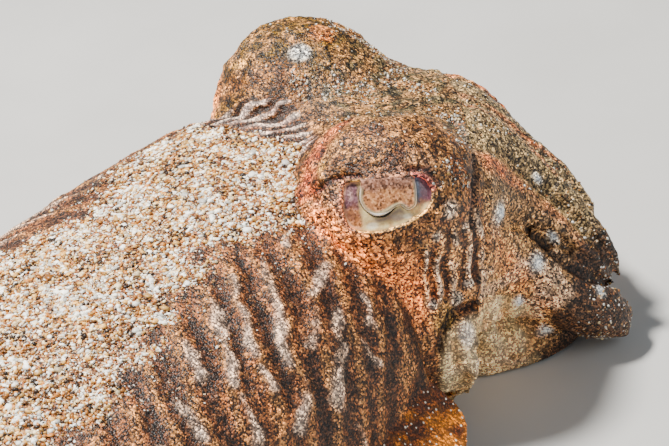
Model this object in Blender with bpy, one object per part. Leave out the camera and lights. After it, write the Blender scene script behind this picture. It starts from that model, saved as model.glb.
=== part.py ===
"""A common cuttlefish (Sepia officinalis), life size, at rest on a flat floor with its arms held together.

The animal faces -Y and its left is +X. Its mantle lies straight along Y, and its head and arms turn to
its right and down. Body coordinates (forward, left, up) are measured from the neck, at floor level, and
`world` turns them into X, Y, Z. Everything is in metres.
"""

import math

import bmesh
import bpy
import numpy as np
from mathutils import Vector

# Driving dimensions.
MANTLE_LENGTH = 0.210
MANTLE_HALF_WIDTH = 0.053
MANTLE_DORSAL_RISE = 0.041  # from the line of greatest width up to the top of the back
BELLY_FLAT = 0.0006  # how far the round of the belly would reach below the floor, where it is cut flat
DORSAL_LOBE = 0.010  # how far the margin of the mantle reaches forward in the middle of the back
FIN_WIDTH = 0.019
FIN_ROOT_THICKNESS = 0.0038
FIN_EDGE_THICKNESS = 0.0012
NECK_HEIGHT = 0.034
EYE_RADIUS = 0.011
EYE_HALF_DEPTH = 0.0082  # the eyeball is flattened along its line of sight
EYE_OPENING_HALF_LENGTH = 0.0090
EYE_OPENING_TOP, EYE_OPENING_BOTTOM = 0.0055, 0.0049  # from the line that joins its corners
EYE_RECESS = 0.0012  # the depth of the eyeball's front below the skin
# Of the right side, dorsal arm first, from the crown to the tip.
ARM_LENGTHS = (0.040, 0.040, 0.051, 0.051)
# Degrees from the middle of the back, where one arm gives way to the next.
SECTORS_AT_CROWN = (0, 34, 66, 112, 180)
SECTORS_AT_TIPS = (0, 6, 8, 88, 180)
CROWN_AT = 0.040  # distance along the spine from the neck to the roots of the arms
GAP = 0.0003  # clearance between neighbouring pieces

SIDES = {"left": 1, "right": -1}
MM = 0.001


def smooth(x):
    """0 below 0, 1 above 1, and an even slope change between."""
    x = np.clip(x, 0.0, 1.0)
    return x * x * (3 - 2 * x)


def world(points):
    """Body coordinates (forward, left, up) to X, Y, Z."""
    points = np.asarray(points, float)
    return np.stack([points[..., 1], -points[..., 0], points[..., 2]], axis=-1)


def unit(vector):
    vector = np.asarray(vector, float)
    return vector / np.linalg.norm(vector)


# Materials and meshes


def material(name, colour, roughness):
    made = bpy.data.materials.new(name)
    made.use_nodes = True
    shader = made.node_tree.nodes["Principled BSDF"]
    shader.inputs["Base Color"].default_value = (*colour, 1.0)
    shader.inputs["Roughness"].default_value = roughness
    shader.inputs["Metallic"].default_value = 0.0
    return made


def new_object(name, mesh, finish, root):
    obj = bpy.data.objects.new(name, mesh)
    bpy.context.scene.collection.objects.link(obj)
    obj.parent = root
    if finish:
        mesh.materials.append(finish)
    return obj


def mesh_from_rings(name, rings):
    """A closed mesh through rings of equally many points, each end closed by a fan to its middle."""
    rings = world(rings)
    count, around = rings.shape[:2]
    mesh = bpy.data.meshes.new(name)
    bm = bmesh.new()
    rows = [[bm.verts.new(p) for p in ring] for ring in rings]
    for row, following in zip(rows, rows[1:]):
        for k in range(around):
            after = (k + 1) % around
            bm.faces.new((row[k], row[after], following[after]))
            bm.faces.new((row[k], following[after], following[k]))
    for row, ring in ((rows[0], rings[0]), (rows[-1], rings[-1])):
        middle = bm.verts.new(ring.mean(axis=0))
        for k in range(around):
            bm.faces.new((row[k], row[(k + 1) % around], middle))
    bmesh.ops.recalc_face_normals(bm, faces=bm.faces)
    for face in bm.faces:
        face.smooth = True
    bm.to_mesh(mesh)
    bm.free()
    return mesh


def helper(name, mesh, root):
    """A cutter, which is no part of the animal."""
    obj = new_object(name, mesh, None, root)
    obj.hide_render = True
    obj.display_type = "WIRE"
    return obj


def cut(obj, cutter):
    modifier = obj.modifiers.new("cut_by_" + cutter.name, "BOOLEAN")
    modifier.operation = "DIFFERENCE"
    modifier.solver = "EXACT"
    modifier.object = cutter


# Mantle

MANTLE_WIDEST_AT = 0.66  # share of the mantle's length from the tail
MANTLE_HIGHEST_AT = 0.84
MANTLE_FRONT_HALF_WIDTH = 0.048
MANTLE_FRONT_RISE = 0.039
MARGIN_AT_SIDE = -0.010
MARGIN_AT_BELLY = -0.018
SHOULDER_SETBACK = 0.005  # on the right, where the turned head presses the margin back
LIP = 0.0035
TAIL_HEIGHT = 0.011
FRONT_HEIGHT = 0.018
MANTLE_STATIONS = 23
MANTLE_AROUND = 40
DORSAL_POWER = 2.15  # superellipse power: 2 is an ellipse, and more is boxier
VENTRAL_POWER = 2.25


def oval(share, peak, power):
    """A half-oval profile: 0 at share 0, rising to 1 at the peak."""
    return np.sqrt(1 - np.clip((peak - share) / peak, 0, 1) ** power)


def mantle_half_width(share):
    ahead = np.clip((share - MANTLE_WIDEST_AT) / (1 - MANTLE_WIDEST_AT), 0, 1)
    narrowing = (MANTLE_HALF_WIDTH - MANTLE_FRONT_HALF_WIDTH) * ahead**1.8
    return MANTLE_HALF_WIDTH * oval(share, MANTLE_WIDEST_AT, 2.3) - narrowing


def mantle_rise(share):
    ahead = np.clip((share - MANTLE_HIGHEST_AT) / (1 - MANTLE_HIGHEST_AT), 0, 1)
    falling = (MANTLE_DORSAL_RISE - MANTLE_FRONT_RISE) * ahead**2
    return MANTLE_DORSAL_RISE * oval(share, MANTLE_HIGHEST_AT, 2.1) - falling


def mantle_side_height(share):
    """Height of the line of greatest width, along which the fin grows."""
    return TAIL_HEIGHT + (FRONT_HEIGHT - TAIL_HEIGHT) * smooth(share / 0.6)


def mantle_forward(share):
    return (share - 1) * (MANTLE_LENGTH - DORSAL_LOBE)


def margin_share(share):
    """How far the mantle's rings have taken on the slanting shape of its front margin."""
    return smooth((share - 0.72) / 0.28)


def mantle_ring(share, grow=0.0, forward=0.0, around=MANTLE_AROUND):
    """The mantle's outline at a share of its length from the tail, grown by `grow` and moved forward."""
    angle = np.arange(around) * 2 * math.pi / around
    across, rise = np.cos(angle), np.sin(angle)
    power = np.where(rise >= 0, DORSAL_POWER, VENTRAL_POWER)
    depth = (mantle_side_height(share) + BELLY_FLAT) * oval(share, 0.3, 2.4)
    height = np.where(rise >= 0, mantle_rise(share), depth)
    left = (mantle_half_width(share) + grow) * np.sign(across) * np.abs(across) ** (2 / power)
    up = (height + grow) * np.sign(rise) * np.abs(rise) ** (2 / power)
    margin = np.where(
        rise >= 0,
        MARGIN_AT_SIDE + (DORSAL_LOBE - MARGIN_AT_SIDE) * np.abs(rise) ** 1.6,
        MARGIN_AT_SIDE + (MARGIN_AT_BELLY - MARGIN_AT_SIDE) * np.abs(rise),
    )
    pressed = SHOULDER_SETBACK * np.exp(-(((np.degrees(angle) - 135) / 28) ** 2))
    ahead = mantle_forward(share) + forward + (margin - pressed) * margin_share(share)
    return np.stack([ahead, left, mantle_side_height(share) + up], axis=-1)


def mantle_rings(grow=0.0):
    shares = 0.5 - 0.5 * np.cos(np.linspace(0.05, 1, MANTLE_STATIONS) * math.pi)
    rings = [mantle_ring(share, grow) for share in shares]
    rings.append(mantle_ring(1, grow - 0.3 * LIP, forward=0.35 * LIP + grow))
    rings.append(mantle_ring(1, -LIP, forward=0.1 * LIP + 2 * grow))
    rings.append(mantle_ring(1, -2.2 * LIP, forward=-0.8 * LIP + 2 * grow))
    return np.array(rings)


def floor_cutter(root):
    """A slab whose top is the floor."""
    side, depth = 1.2 * MANTLE_LENGTH, 0.05
    corners = [(f, l) for f, l in ((-1, -1), (1, -1), (1, 1), (-1, 1))]
    rings = [[(side * f, side * l, up) for f, l in corners] for up in (-depth, 0)]
    return helper("floor_cutter", mesh_from_rings("floor_cutter", rings), root)


# Fins

FIN_FROM, FIN_TO = 0.010, 1.0  # shares of the mantle's length
FIN_STATIONS = 31
FIN_DROOP, FIN_FRONT_DROOP = math.radians(34), math.radians(56)
FIN_FRONT_LOBE = 0.005  # how far the front of the fin's edge reaches ahead of its root
FIN_WAVES = 3.5
FIN_WAVE_HEIGHT = 0.0024
FIN_ROOT_DEPTH = 0.004  # how far the root starts inside the mantle, before the mantle is cut from it
# Round the section: share of the width out from the root, or -1 inside the mantle, and share of half the
# thickness.
FIN_SECTION = ((-1, 1), (0.45, 0.75), (0.93, 0.4), (1, 0), (0.93, -0.4), (0.45, -0.75), (-1, -1))


def fin_profile(share, side):
    """Points round the fin's section at a share of the mantle's length: upper face, edge, under face."""
    step = 0.004
    behind, here, ahead = (
        np.array([mantle_forward(s) + MARGIN_AT_SIDE * margin_share(s), mantle_half_width(s)])
        for s in (share - step, share, share + step)
    )
    along = unit(ahead - behind)
    outward = np.array([-along[1], along[0]])
    progress = (share - FIN_FROM) / (FIN_TO - FIN_FROM)
    front = smooth((progress - 0.8) / 0.2)
    droop = FIN_DROOP + (FIN_FRONT_DROOP - FIN_DROOP) * front
    narrowing = 0.45 * smooth((progress - 0.94) / 0.06)
    width = FIN_WIDTH * (0.25 + 0.75 * smooth(progress / 0.22)) * (1 - narrowing)
    wave = math.sin(2 * math.pi * FIN_WAVES * progress + 0.6 * side) * (1 - 0.6 * front)
    points = []
    for reach, half_thickness in FIN_SECTION:
        out = reach * width if reach > 0 else -FIN_ROOT_DEPTH
        bend = max(reach, 0.0)
        up = mantle_side_height(share) - out * math.sin(droop) * (1 - 0.3 * bend)
        up += FIN_WAVE_HEIGHT * wave * bend**1.5
        thickness = FIN_ROOT_THICKNESS if abs(half_thickness) > 0.5 else 2 * FIN_EDGE_THICKNESS
        up += half_thickness * thickness / 2
        forward, left = here + outward * out * math.cos(droop) + along * FIN_FRONT_LOBE * front * bend
        points.append((forward, side * left, up))
    return points


def fin_rings(side):
    return np.array([fin_profile(share, side) for share in np.linspace(FIN_FROM, FIN_TO, FIN_STATIONS)])


# Spine of the head and the arms

SPINE_STEP = 0.001
SPINE_LENGTH = 0.130
HEAD_TURN = math.radians(29)  # to the animal's right
ARMS_TURN = math.radians(85)
HEAD_DROOP = math.radians(12)
ARMS_DROOP = math.radians(60)


def spine():
    """Distances, places and directions along the middle line, from the neck to the arms' tips."""
    along = np.arange(0, SPINE_LENGTH, SPINE_STEP)
    turn = HEAD_TURN + (ARMS_TURN - HEAD_TURN) * smooth((along - 0.020) / 0.060)
    droop = HEAD_DROOP * smooth(along / CROWN_AT)
    droop += (ARMS_DROOP - HEAD_DROOP) * smooth((along - 0.035) / 0.055)
    level = np.cos(droop)
    heading = np.stack([level * np.cos(turn), -level * np.sin(turn), -np.sin(droop)], axis=-1)
    places = np.cumsum(heading, axis=0) * SPINE_STEP + np.array([0, 0, NECK_HEIGHT])
    return along, places, heading


SPINE = spine()


def spine_frame(distance):
    """(place, forward, left, up) at a distance along the spine. Behind the neck it runs straight back."""
    along, places, headings = SPINE
    place = np.array([np.interp(distance, along, places[:, k]) for k in range(3)])
    place = place + min(distance, 0) * headings[0]
    forward = unit([np.interp(distance, along, headings[:, k]) for k in range(3)])
    left = unit(np.cross([0, 0, 1], forward))
    return place, forward, left, np.cross(forward, left)


# Head: a smooth union of ellipsoids, read along rays from its middle line

HEAD_BACK = -0.026
HEAD_STATIONS = 18
HEAD_AROUND = 38
BLEND = 0.0038
HEAD_PARTS = (  # middle (forward, left, up) and half sizes, before the head turns
    ((0.022, 0.0, 0.034), (0.033, 0.033, 0.0230)),
    ((-0.014, 0.0, 0.030), (0.026, 0.038, 0.0190)),
    ((0.040, 0.0, 0.029), (0.026, 0.033, 0.0245)),
    ((0.016, 0.026, 0.024), (0.024, 0.017, 0.0180)),
    ((0.016, -0.026, 0.024), (0.024, 0.017, 0.0180)),
    ((0.036, 0.026, 0.016), (0.018, 0.017, 0.0130)),
    ((0.037, -0.029, 0.015), (0.018, 0.019, 0.0130)),
)
EYE_DOME = ((0.0200, 0.0240, 0.0500), (0.0190, 0.0175, 0.0180))
EYE_DIRECTION = (-0.30, 0.83, 0.47)  # of the left eye
CORNERS_AHEAD, CORNERS_UP = 0.0003, 0.0010  # middle of the line between the corners, from the eyeball's
TOP_TAPER, BOTTOM_TAPER = 0.12, 0.33  # the opening is lower in front, and more so under the corners
OPENING_POWER = 2.6  # superellipse power: 2 is an ellipse, and more is boxier
EYE_PLUG = ((0.5, 0.92), (1.7, 1.08))  # (depth in the eyeball's half depths, width) of its two ends


def turned(points, back=False):
    """Points turned about the neck as the head is, to the animal's right, or back again."""
    angle = HEAD_TURN * (-1 if back else 1)
    points = np.asarray(points, float)
    forward, left = points[..., 0], points[..., 1]
    return np.stack(
        [
            forward * math.cos(angle) + left * math.sin(angle),
            left * math.cos(angle) - forward * math.sin(angle),
            points[..., 2],
        ],
        axis=-1,
    )


def ellipsoid_distance(points, middle, half_sizes):
    scaled = (points - np.array(middle)) / np.array(half_sizes)
    length = np.maximum(np.linalg.norm(scaled, axis=-1), 1e-9)
    slope = np.linalg.norm(scaled / np.array(half_sizes), axis=-1)
    return length * (length - 1) / np.maximum(slope, 1e-9)


def head_distance(points):
    """Signed distance, about, from the head's skin to points in body coordinates."""
    points = turned(points, back=True)
    middle, half_sizes = EYE_DOME
    domes = [((middle[0], side * middle[1], middle[2]), half_sizes) for side in SIDES.values()]
    found = [ellipsoid_distance(points, *part) for part in (*HEAD_PARTS, *domes)]
    return -BLEND * np.log(sum(np.exp(-d / BLEND) for d in found))


def reach(origin, directions, distance, furthest=0.09):
    """How far along each direction the surface lies, by halving."""
    near, far = np.zeros(len(directions)), np.full(len(directions), furthest)
    for _ in range(26):
        halfway = (near + far) / 2
        inside = distance(origin + directions * halfway[:, None]) < 0
        near, far = np.where(inside, halfway, near), np.where(inside, far, halfway)
    return near


def head_ring(distance, grow=0.0):
    place, _, left, up = spine_frame(distance)
    angle = np.arange(HEAD_AROUND) * 2 * math.pi / HEAD_AROUND
    directions = np.outer(np.cos(angle), left) + np.outer(np.sin(angle), up)
    return place + directions * (reach(place, directions, head_distance) + grow)[:, None]


def head_rings(grow=0.0):
    stations = np.linspace(HEAD_BACK, CROWN_AT - GAP, HEAD_STATIONS)
    return np.array([head_ring(distance, grow) for distance in stations])


# Eyes


def eye_frame(side):
    """(middle of the eyeball, outward, forward, up) of an eye, in body coordinates."""
    middle, _ = EYE_DOME
    outward = turned(unit([EYE_DIRECTION[0], side * EYE_DIRECTION[1], EYE_DIRECTION[2]]))
    dome = turned(np.array([middle[0], side * middle[1], middle[2]]))
    skin = reach(dome, outward[None, :], head_distance)[0]
    forward = unit(np.cross([0, 0, 1], outward)) * -side
    up = unit(np.cross(outward, forward)) * -side
    return dome + outward * (skin - EYE_RECESS - EYE_HALF_DEPTH), outward, forward, up


def eyeball_rings(side, grow=0.0, around=18, stations=9):
    middle, outward, forward, up = eye_frame(side)
    radius, half_depth = EYE_RADIUS + grow, EYE_HALF_DEPTH + grow
    rings = []
    for k in range(1, stations):
        polar = math.pi * k / stations
        angle = np.arange(around) * 2 * math.pi / around
        flat = np.outer(np.cos(angle), forward) + np.outer(np.sin(angle), up)
        rings.append(middle + outward * half_depth * math.cos(polar) + flat * radius * math.sin(polar))
    return np.array(rings)


def eye_opening_rings(side, around=20):
    """A tapered plug through the skin in front of the eyeball, in the outline of the open lids."""
    middle, outward, forward, up = eye_frame(side)
    angle = np.arange(around) * 2 * math.pi / around
    cosine, sine = np.cos(angle), np.sin(angle)
    ahead = EYE_OPENING_HALF_LENGTH * np.sign(cosine) * np.abs(cosine) ** (2 / OPENING_POWER)
    top = EYE_OPENING_TOP - TOP_TAPER * ahead
    bottom = EYE_OPENING_BOTTOM - BOTTOM_TAPER * ahead
    height = np.where(sine > 0, top, bottom) * np.sign(sine) * np.abs(sine) ** (2 / OPENING_POWER)
    outline = np.outer(CORNERS_AHEAD + ahead, forward) + np.outer(CORNERS_UP + height, up)
    rings = [middle + outward * EYE_HALF_DEPTH * out + outline * spread for out, spread in EYE_PLUG]
    return np.array(rings)


# Arms: at the crown the eight arms are sectors of one bunch, and they part into round tapering ones

ARM_OUTER_POINTS, ARM_INNER_POINTS = 9, 3  # round a section, on its outer side and towards the mouth
ARM_STATIONS = 6  # in each half
ARM_PARTED_BY = 0.75  # share of an arm's length where it is as round as it gets
ROUNDNESS = (0.45, 0.45, 0.45, 0.10)  # of each arm: 0 stays a sector of the bunch, and 1 becomes a circle
ROUND_GROOVE = 0.24
INNER_RADIUS = 0.12  # share of the bunch's radius that is left open round the mouth
BUNCH_FREE_BY = 0.45  # share where the bunch has left the head's outline for its own
CROWN_HALF_WIDTH, TIPS_HALF_WIDTH = 0.036, 0.016
CROWN_TOP, TIPS_TOP = 0.022, 0.0145  # from the spine to the outer side of the dorsal arms
CROWN_BOTTOM, TIPS_BOTTOM = 0.026, 0.018
BUNCH_POWER = 2.2  # superellipse power: 2 is an ellipse, and more is boxier
# At the crown and the tips: the left arms, outside the turn, close in.
SPREAD = {1: (0.80, 0.38), -1: (1.0, 1.0)}
LENGTHENING = {1: 0.76, -1: 1.0}  # the left arms reach less far, as they curl in
WEB_FLARE = 0.88  # the ventral arms' broad swimming web widens the bunch low down
WEB_AT, WEB_SPREAD = 118, 17  # degrees from the back


def between(pair, share):
    return pair[0] + (pair[1] - pair[0]) * share


def bunch_radius(angle, share, spread):
    """Outer radius of the bunch at an angle from the back, at a share of its length from the crown."""
    width = between(spread, share) * between((CROWN_HALF_WIDTH, TIPS_HALF_WIDTH), share)
    top, bottom = between((CROWN_TOP, TIPS_TOP), share), between((CROWN_BOTTOM, TIPS_BOTTOM), share)
    height = np.where(np.abs(angle) < math.pi / 2, top, bottom)
    across = (np.abs(np.sin(angle)) / width) ** BUNCH_POWER
    along = (np.abs(np.cos(angle)) / height) ** BUNCH_POWER
    flare = WEB_FLARE * np.exp(-(((np.degrees(angle) - WEB_AT) / WEB_SPREAD) ** 2))
    return (across + along) ** (-1 / BUNCH_POWER) * (1 + flare)


def head_radius(angle, side):
    """Outer radius of the head at the crown, on one side, at an angle from the back."""
    place, _, left, up = spine_frame(CROWN_AT)
    directions = np.outer(np.cos(angle), up) + side * np.outer(np.sin(angle), left)
    return reach(place, directions, head_distance)


class Bunch:
    """The outline of one side's four arms, which starts as the head's."""

    def __init__(self, side):
        self.angles = np.linspace(0, math.pi, 181)
        self.at_crown = head_radius(self.angles, side)
        self.spread = SPREAD[side]

    def outer(self, angle, share):
        at_crown = np.interp(angle, self.angles, self.at_crown)
        free = bunch_radius(angle, share, self.spread)
        return between((at_crown, free), smooth(share / BUNCH_FREE_BY))


def sector_section(bunch, share, first, last):
    """(centre, points round it) of an arm's section as a sector of the bunch, in (up, across)."""
    mid, half = (first + last) / 2, (last - first) / 2
    centre = 0.62 * bunch.outer(mid, share) * np.array([math.cos(mid), math.sin(mid)])
    groove = 0.03 + ROUND_GROOVE * smooth(share / ARM_PARTED_BY)
    turn = np.concatenate([np.linspace(-1, 1, ARM_OUTER_POINTS), np.linspace(1, -1, ARM_INNER_POINTS)])
    radius = bunch.outer(mid + half * turn, share) * (1 - groove * np.abs(turn) ** 3)
    radius[ARM_OUTER_POINTS:] = INNER_RADIUS * bunch.outer(mid, share)
    angle = mid + turn * (half - GAP / 2 / radius)
    return centre, radius[:, None] * np.stack([np.cos(angle), np.sin(angle)], axis=-1)


def arm_section(bunch, share, first, last, roundness):
    """The sector, drawn in towards a circle as the arm parts from its neighbours and tapers."""
    centre, sector = sector_section(bunch, share, first, last)
    outward = (sector - centre) / np.linalg.norm(sector - centre, axis=1)[:, None]
    room = np.linalg.norm(centre) * math.sin((last - first) / 2) - GAP / 2
    section = between((sector, centre + room * outward), roundness * smooth(share / ARM_PARTED_BY))
    tip = math.sqrt(max(1 - max((share - 0.80) / 0.20, 0) ** 2, 0.01))
    return centre + (section - centre) * tip


def sectors(distance):
    """Angles in radians where one arm gives way to the next, at a distance from the crown."""
    change = (distance / max(ARM_LENGTHS)) ** 2
    return [math.radians(between(pair, change)) for pair in zip(SECTORS_AT_CROWN, SECTORS_AT_TIPS)]


def arm_rings(bunch, number, side, first_share, last_share):
    length = ARM_LENGTHS[number - 1] * LENGTHENING[side]
    rings = []
    for share in np.linspace(first_share, last_share, ARM_STATIONS):
        place, _, left, up = spine_frame(CROWN_AT + share * length)
        first, last = sectors(share * length)[number - 1 : number + 1]
        section = arm_section(bunch, share, first, last, ROUNDNESS[number - 1])
        rings.append(place + np.outer(section[:, 0], up) + side * np.outer(section[:, 1], left))
    return np.array(rings)


# Funnel

FUNNEL_HEIGHT = 0.0066  # of its middle line


def funnel_rings(around=16):
    """A flattened tube under the head, open in front as a shallow dimple."""
    angle = np.arange(around) * 2 * math.pi / around
    rings = []
    for forward, half_width, half_height in (
        (-0.022, 0.016, 0.006),
        (0.000, 0.0140, 0.0060),
        (0.018, 0.0100, 0.0052),
        (0.030, 0.0076, 0.0044),
        (0.0305, 0.0060, 0.0032),
        (0.0265, 0.0050, 0.0024),
    ):
        left, up = half_width * np.cos(angle), FUNNEL_HEIGHT + half_height * np.sin(angle)
        rings.append(turned(np.stack([np.full(around, forward), left, up], axis=-1)))
    return np.array(rings)


# The whole animal


def centre_on_floor(root):
    """Moves the root so that the middle of the animal's box stands at the origin."""
    bpy.context.view_layer.update()
    graph = bpy.context.evaluated_depsgraph_get()
    corners = [
        obj.evaluated_get(graph).matrix_world @ Vector(corner)
        for obj in root.children
        if not obj.hide_render
        for corner in obj.evaluated_get(graph).bound_box
    ]
    for axis in (0, 1):
        values = [corner[axis] for corner in corners]
        root.location[axis] = -(min(values) + max(values)) / 2


def main():
    for obj in list(bpy.data.objects):
        bpy.data.objects.remove(obj)
    root = bpy.data.objects.new("cuttlefish", None)
    bpy.context.scene.collection.objects.link(root)

    mantle_skin = material("mantle_skin", (0.36, 0.24, 0.16), 0.55)
    head_skin = material("head_skin", (0.42, 0.22, 0.12), 0.5)
    arm_skin = material("arm_skin", (0.36, 0.24, 0.15), 0.5)
    fin_skin = material("fin_skin", (0.48, 0.26, 0.10), 0.45)
    eye_surface = material("eye_surface", (0.62, 0.56, 0.44), 0.2)
    funnel_skin = material("funnel_skin", (0.62, 0.50, 0.40), 0.5)

    floor = floor_cutter(root)
    mantle_room = helper("mantle_room", mesh_from_rings("mantle_room", mantle_rings(GAP)), root)

    mantle = new_object("mantle", mesh_from_rings("mantle", mantle_rings()), mantle_skin, root)
    cut(mantle, floor)

    head = new_object("head", mesh_from_rings("head", head_rings()), head_skin, root)
    cut(head, mantle_room)
    head_room = helper("head_room", mesh_from_rings("head_room", head_rings(GAP)), root)

    for name, side in SIDES.items():
        eye_mesh = mesh_from_rings("eye_" + name, eyeball_rings(side))
        new_object("eye_" + name, eye_mesh, eye_surface, root)
        socket = mesh_from_rings("socket_" + name, eyeball_rings(side, GAP))
        socket = helper("socket_" + name, socket, root)
        cut(head, socket)
        if name == "right":  # the head turns this way, so its eyeball reaches into the mantle's shoulder
            cut(mantle, socket)
        opening = mesh_from_rings("opening_" + name, eye_opening_rings(side))
        cut(head, helper("opening_" + name, opening, root))

        fin = new_object("fin_" + name, mesh_from_rings("fin_" + name, fin_rings(side)), fin_skin, root)
        cut(fin, mantle_room)

        bunch = Bunch(side)
        for number in range(1, len(ARM_LENGTHS) + 1):
            split = GAP / ARM_LENGTHS[number - 1] / LENGTHENING[side] / 2
            for part, start, end in (("base", 0, 0.5 - split), ("tip", 0.5 + split, 1)):
                arm_name = f"arm_{name}_{number}_{part}"
                arm_mesh = mesh_from_rings(arm_name, arm_rings(bunch, number, side, start, end))
                arm = new_object(arm_name, arm_mesh, arm_skin, root)
                cut(arm, floor)
                if part == "tip" and number == len(ARM_LENGTHS):  # its web swings back under the head
                    cut(arm, head_room)

    funnel = new_object("funnel", mesh_from_rings("funnel", funnel_rings()), funnel_skin, root)
    for cutter in (mantle_room, head_room, floor):
        cut(funnel, cutter)

    centre_on_floor(root)


if __name__ == "__main__":
    main()
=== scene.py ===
"""The looks of a life-size common cuttlefish that rests on the floor with sand on its back.

One skin stands for all the flesh: the solids are joined, smoothed and drawn in a little, and get their relief
and markings from formulas in the animal's own coordinates. The two eyes are pieces of their own, and the sand
is solid grains. Lengths are in metres in the frame, and in millimetres in the animal's coordinates.
"""

import math
from contextlib import contextmanager
from copy import copy

import bmesh
import bpy
import numpy as np
from mathutils import Matrix, Vector
from mathutils.bvhtree import BVHTree


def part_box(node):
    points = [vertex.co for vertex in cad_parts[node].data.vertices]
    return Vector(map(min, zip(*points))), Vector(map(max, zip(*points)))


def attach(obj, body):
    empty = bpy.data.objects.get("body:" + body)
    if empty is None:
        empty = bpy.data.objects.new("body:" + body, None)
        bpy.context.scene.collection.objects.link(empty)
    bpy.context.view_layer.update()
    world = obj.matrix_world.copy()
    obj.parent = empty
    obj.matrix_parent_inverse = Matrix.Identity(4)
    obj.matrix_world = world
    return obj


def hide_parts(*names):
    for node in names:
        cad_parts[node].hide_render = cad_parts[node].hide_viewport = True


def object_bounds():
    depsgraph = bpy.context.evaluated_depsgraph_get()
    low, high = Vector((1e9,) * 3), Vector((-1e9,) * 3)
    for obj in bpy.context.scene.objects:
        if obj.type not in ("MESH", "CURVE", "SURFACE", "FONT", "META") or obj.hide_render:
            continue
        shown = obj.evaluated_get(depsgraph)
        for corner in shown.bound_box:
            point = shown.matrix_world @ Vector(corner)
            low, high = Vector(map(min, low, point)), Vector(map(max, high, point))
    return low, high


MM = 0.001

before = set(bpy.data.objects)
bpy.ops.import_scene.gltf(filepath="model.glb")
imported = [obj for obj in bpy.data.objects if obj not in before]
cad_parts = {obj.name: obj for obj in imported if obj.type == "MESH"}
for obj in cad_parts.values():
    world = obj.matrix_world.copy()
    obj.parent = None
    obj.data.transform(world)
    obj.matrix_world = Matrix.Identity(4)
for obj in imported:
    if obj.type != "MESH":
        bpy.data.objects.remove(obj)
cad_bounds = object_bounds()

# ---------------- the animal's coordinates

NECK_BEHIND_MARGIN = 10.84  # mm from the front of the mantle back to the neck, where coordinates start
HEAD_TURN = math.radians(29)  # to the animal's right
ARMS_TURN = math.radians(85)
HEAD_DROOP = math.radians(12)
ARMS_DROOP = math.radians(60)
NECK_HEIGHT = 34.0  # mm
CROWN_AT = 40.0  # mm along the spine to the root of the arms
SPINE_LENGTH = 130
MIDDLE_HEIGHT = 18  # mm, about which girth is measured
CHUNK = 20000  # points handled at once
DOME = (20.0, 24.0, 50.0)  # middle of an eye dome in head coordinates, mm: forward, to its side, up
EYE_DIRECTION = (-0.30, 0.83, 0.47)
SIDES = {"left": 1, "right": -1}

mantle_low, mantle_high = (np.array(corner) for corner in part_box("mantle"))
NECK = np.array([(mantle_low[0] + mantle_high[0]) / 2, mantle_low[1] + NECK_BEHIND_MARGIN * MM, 0.0])


def smooth(x):
    """0 below 0, 1 above 1, and an even slope change between."""
    x = np.clip(x, 0.0, 1.0)
    return x * x * (3 - 2 * x)


def rise(x, start, width):
    return smooth((x - start) / width)


def fall(x, end, width):
    return smooth((end - x) / width)


def stacked(*columns):
    return np.stack(columns, axis=-1)


def length(vectors):
    return np.linalg.norm(vectors, axis=-1)


def unit(vector):
    vector = np.asarray(vector, float)
    return vector / np.linalg.norm(vector)


def to_body(points):
    """World metres to body millimetres: forward, left, up, from the neck at floor level."""
    rel = (np.asarray(points, float) - NECK) / MM
    return stacked(-rel[..., 1], rel[..., 0], rel[..., 2])


def to_world(body):
    body = np.asarray(body, float) * MM
    return stacked(body[..., 1], -body[..., 0], body[..., 2]) + NECK


def turned(points, back=False):
    """Body coordinates turned about the neck as the head is, to the animal's right, or back again."""
    angle = HEAD_TURN * (-1 if back else 1)
    points = np.asarray(points, float)
    forward, left = points[..., 0], points[..., 1]
    cosine, sine = math.cos(angle), math.sin(angle)
    return stacked(forward * cosine + left * sine, left * cosine - forward * sine, points[..., 2])


def spine():
    """Arrays of the places and directions, at each millimetre from the neck to the tips of the arms."""
    along = np.arange(0, SPINE_LENGTH, 1.0)
    turn = HEAD_TURN + (ARMS_TURN - HEAD_TURN) * rise(along, 20, 60)
    droop = HEAD_DROOP * smooth(along / CROWN_AT) + (ARMS_DROOP - HEAD_DROOP) * rise(along, 35, 55)
    heading = stacked(np.cos(droop) * np.cos(turn), -np.cos(droop) * np.sin(turn), -np.sin(droop))
    places = np.cumsum(heading, axis=0) + np.array([0, 0, NECK_HEIGHT])
    return along, places, heading


class Places:
    """Where points lie on the animal, in millimetres and degrees."""

    def __init__(self, points):
        body = to_body(points)
        self.body = body
        self.forward, self.left, self.up = body.T
        self.out = np.abs(self.left)
        height = self.up - MIDDLE_HEIGHT
        self.girth = np.degrees(np.arctan2(height, np.maximum(self.out, 1e-3)))  # 0 at the side, 90 on top
        head = turned(body, back=True)
        self.head = stacked(head[:, 0], np.abs(head[:, 1]), head[:, 2])  # both sides alike
        self.head_left = head[:, 1]
        self.spine, self.around = self.forward.copy(), np.zeros(len(body))
        ahead = np.nonzero(self.forward > -5)[0]
        self.spine[ahead], self.around[ahead] = along_spine(body[ahead])

    def noise(self, size, seed):
        return noise(self.body, size, seed)

    def fractal(self, size, seed):
        return fractal(self.body, size, seed)

    def bumps(self, size, seed):
        return bumps(self.body, size, seed)

    def some(self, chosen):
        """The places of only some of the points."""
        picked = copy(self)
        for name, values in vars(self).items():
            setattr(picked, name, values[chosen])
        return picked


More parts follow.
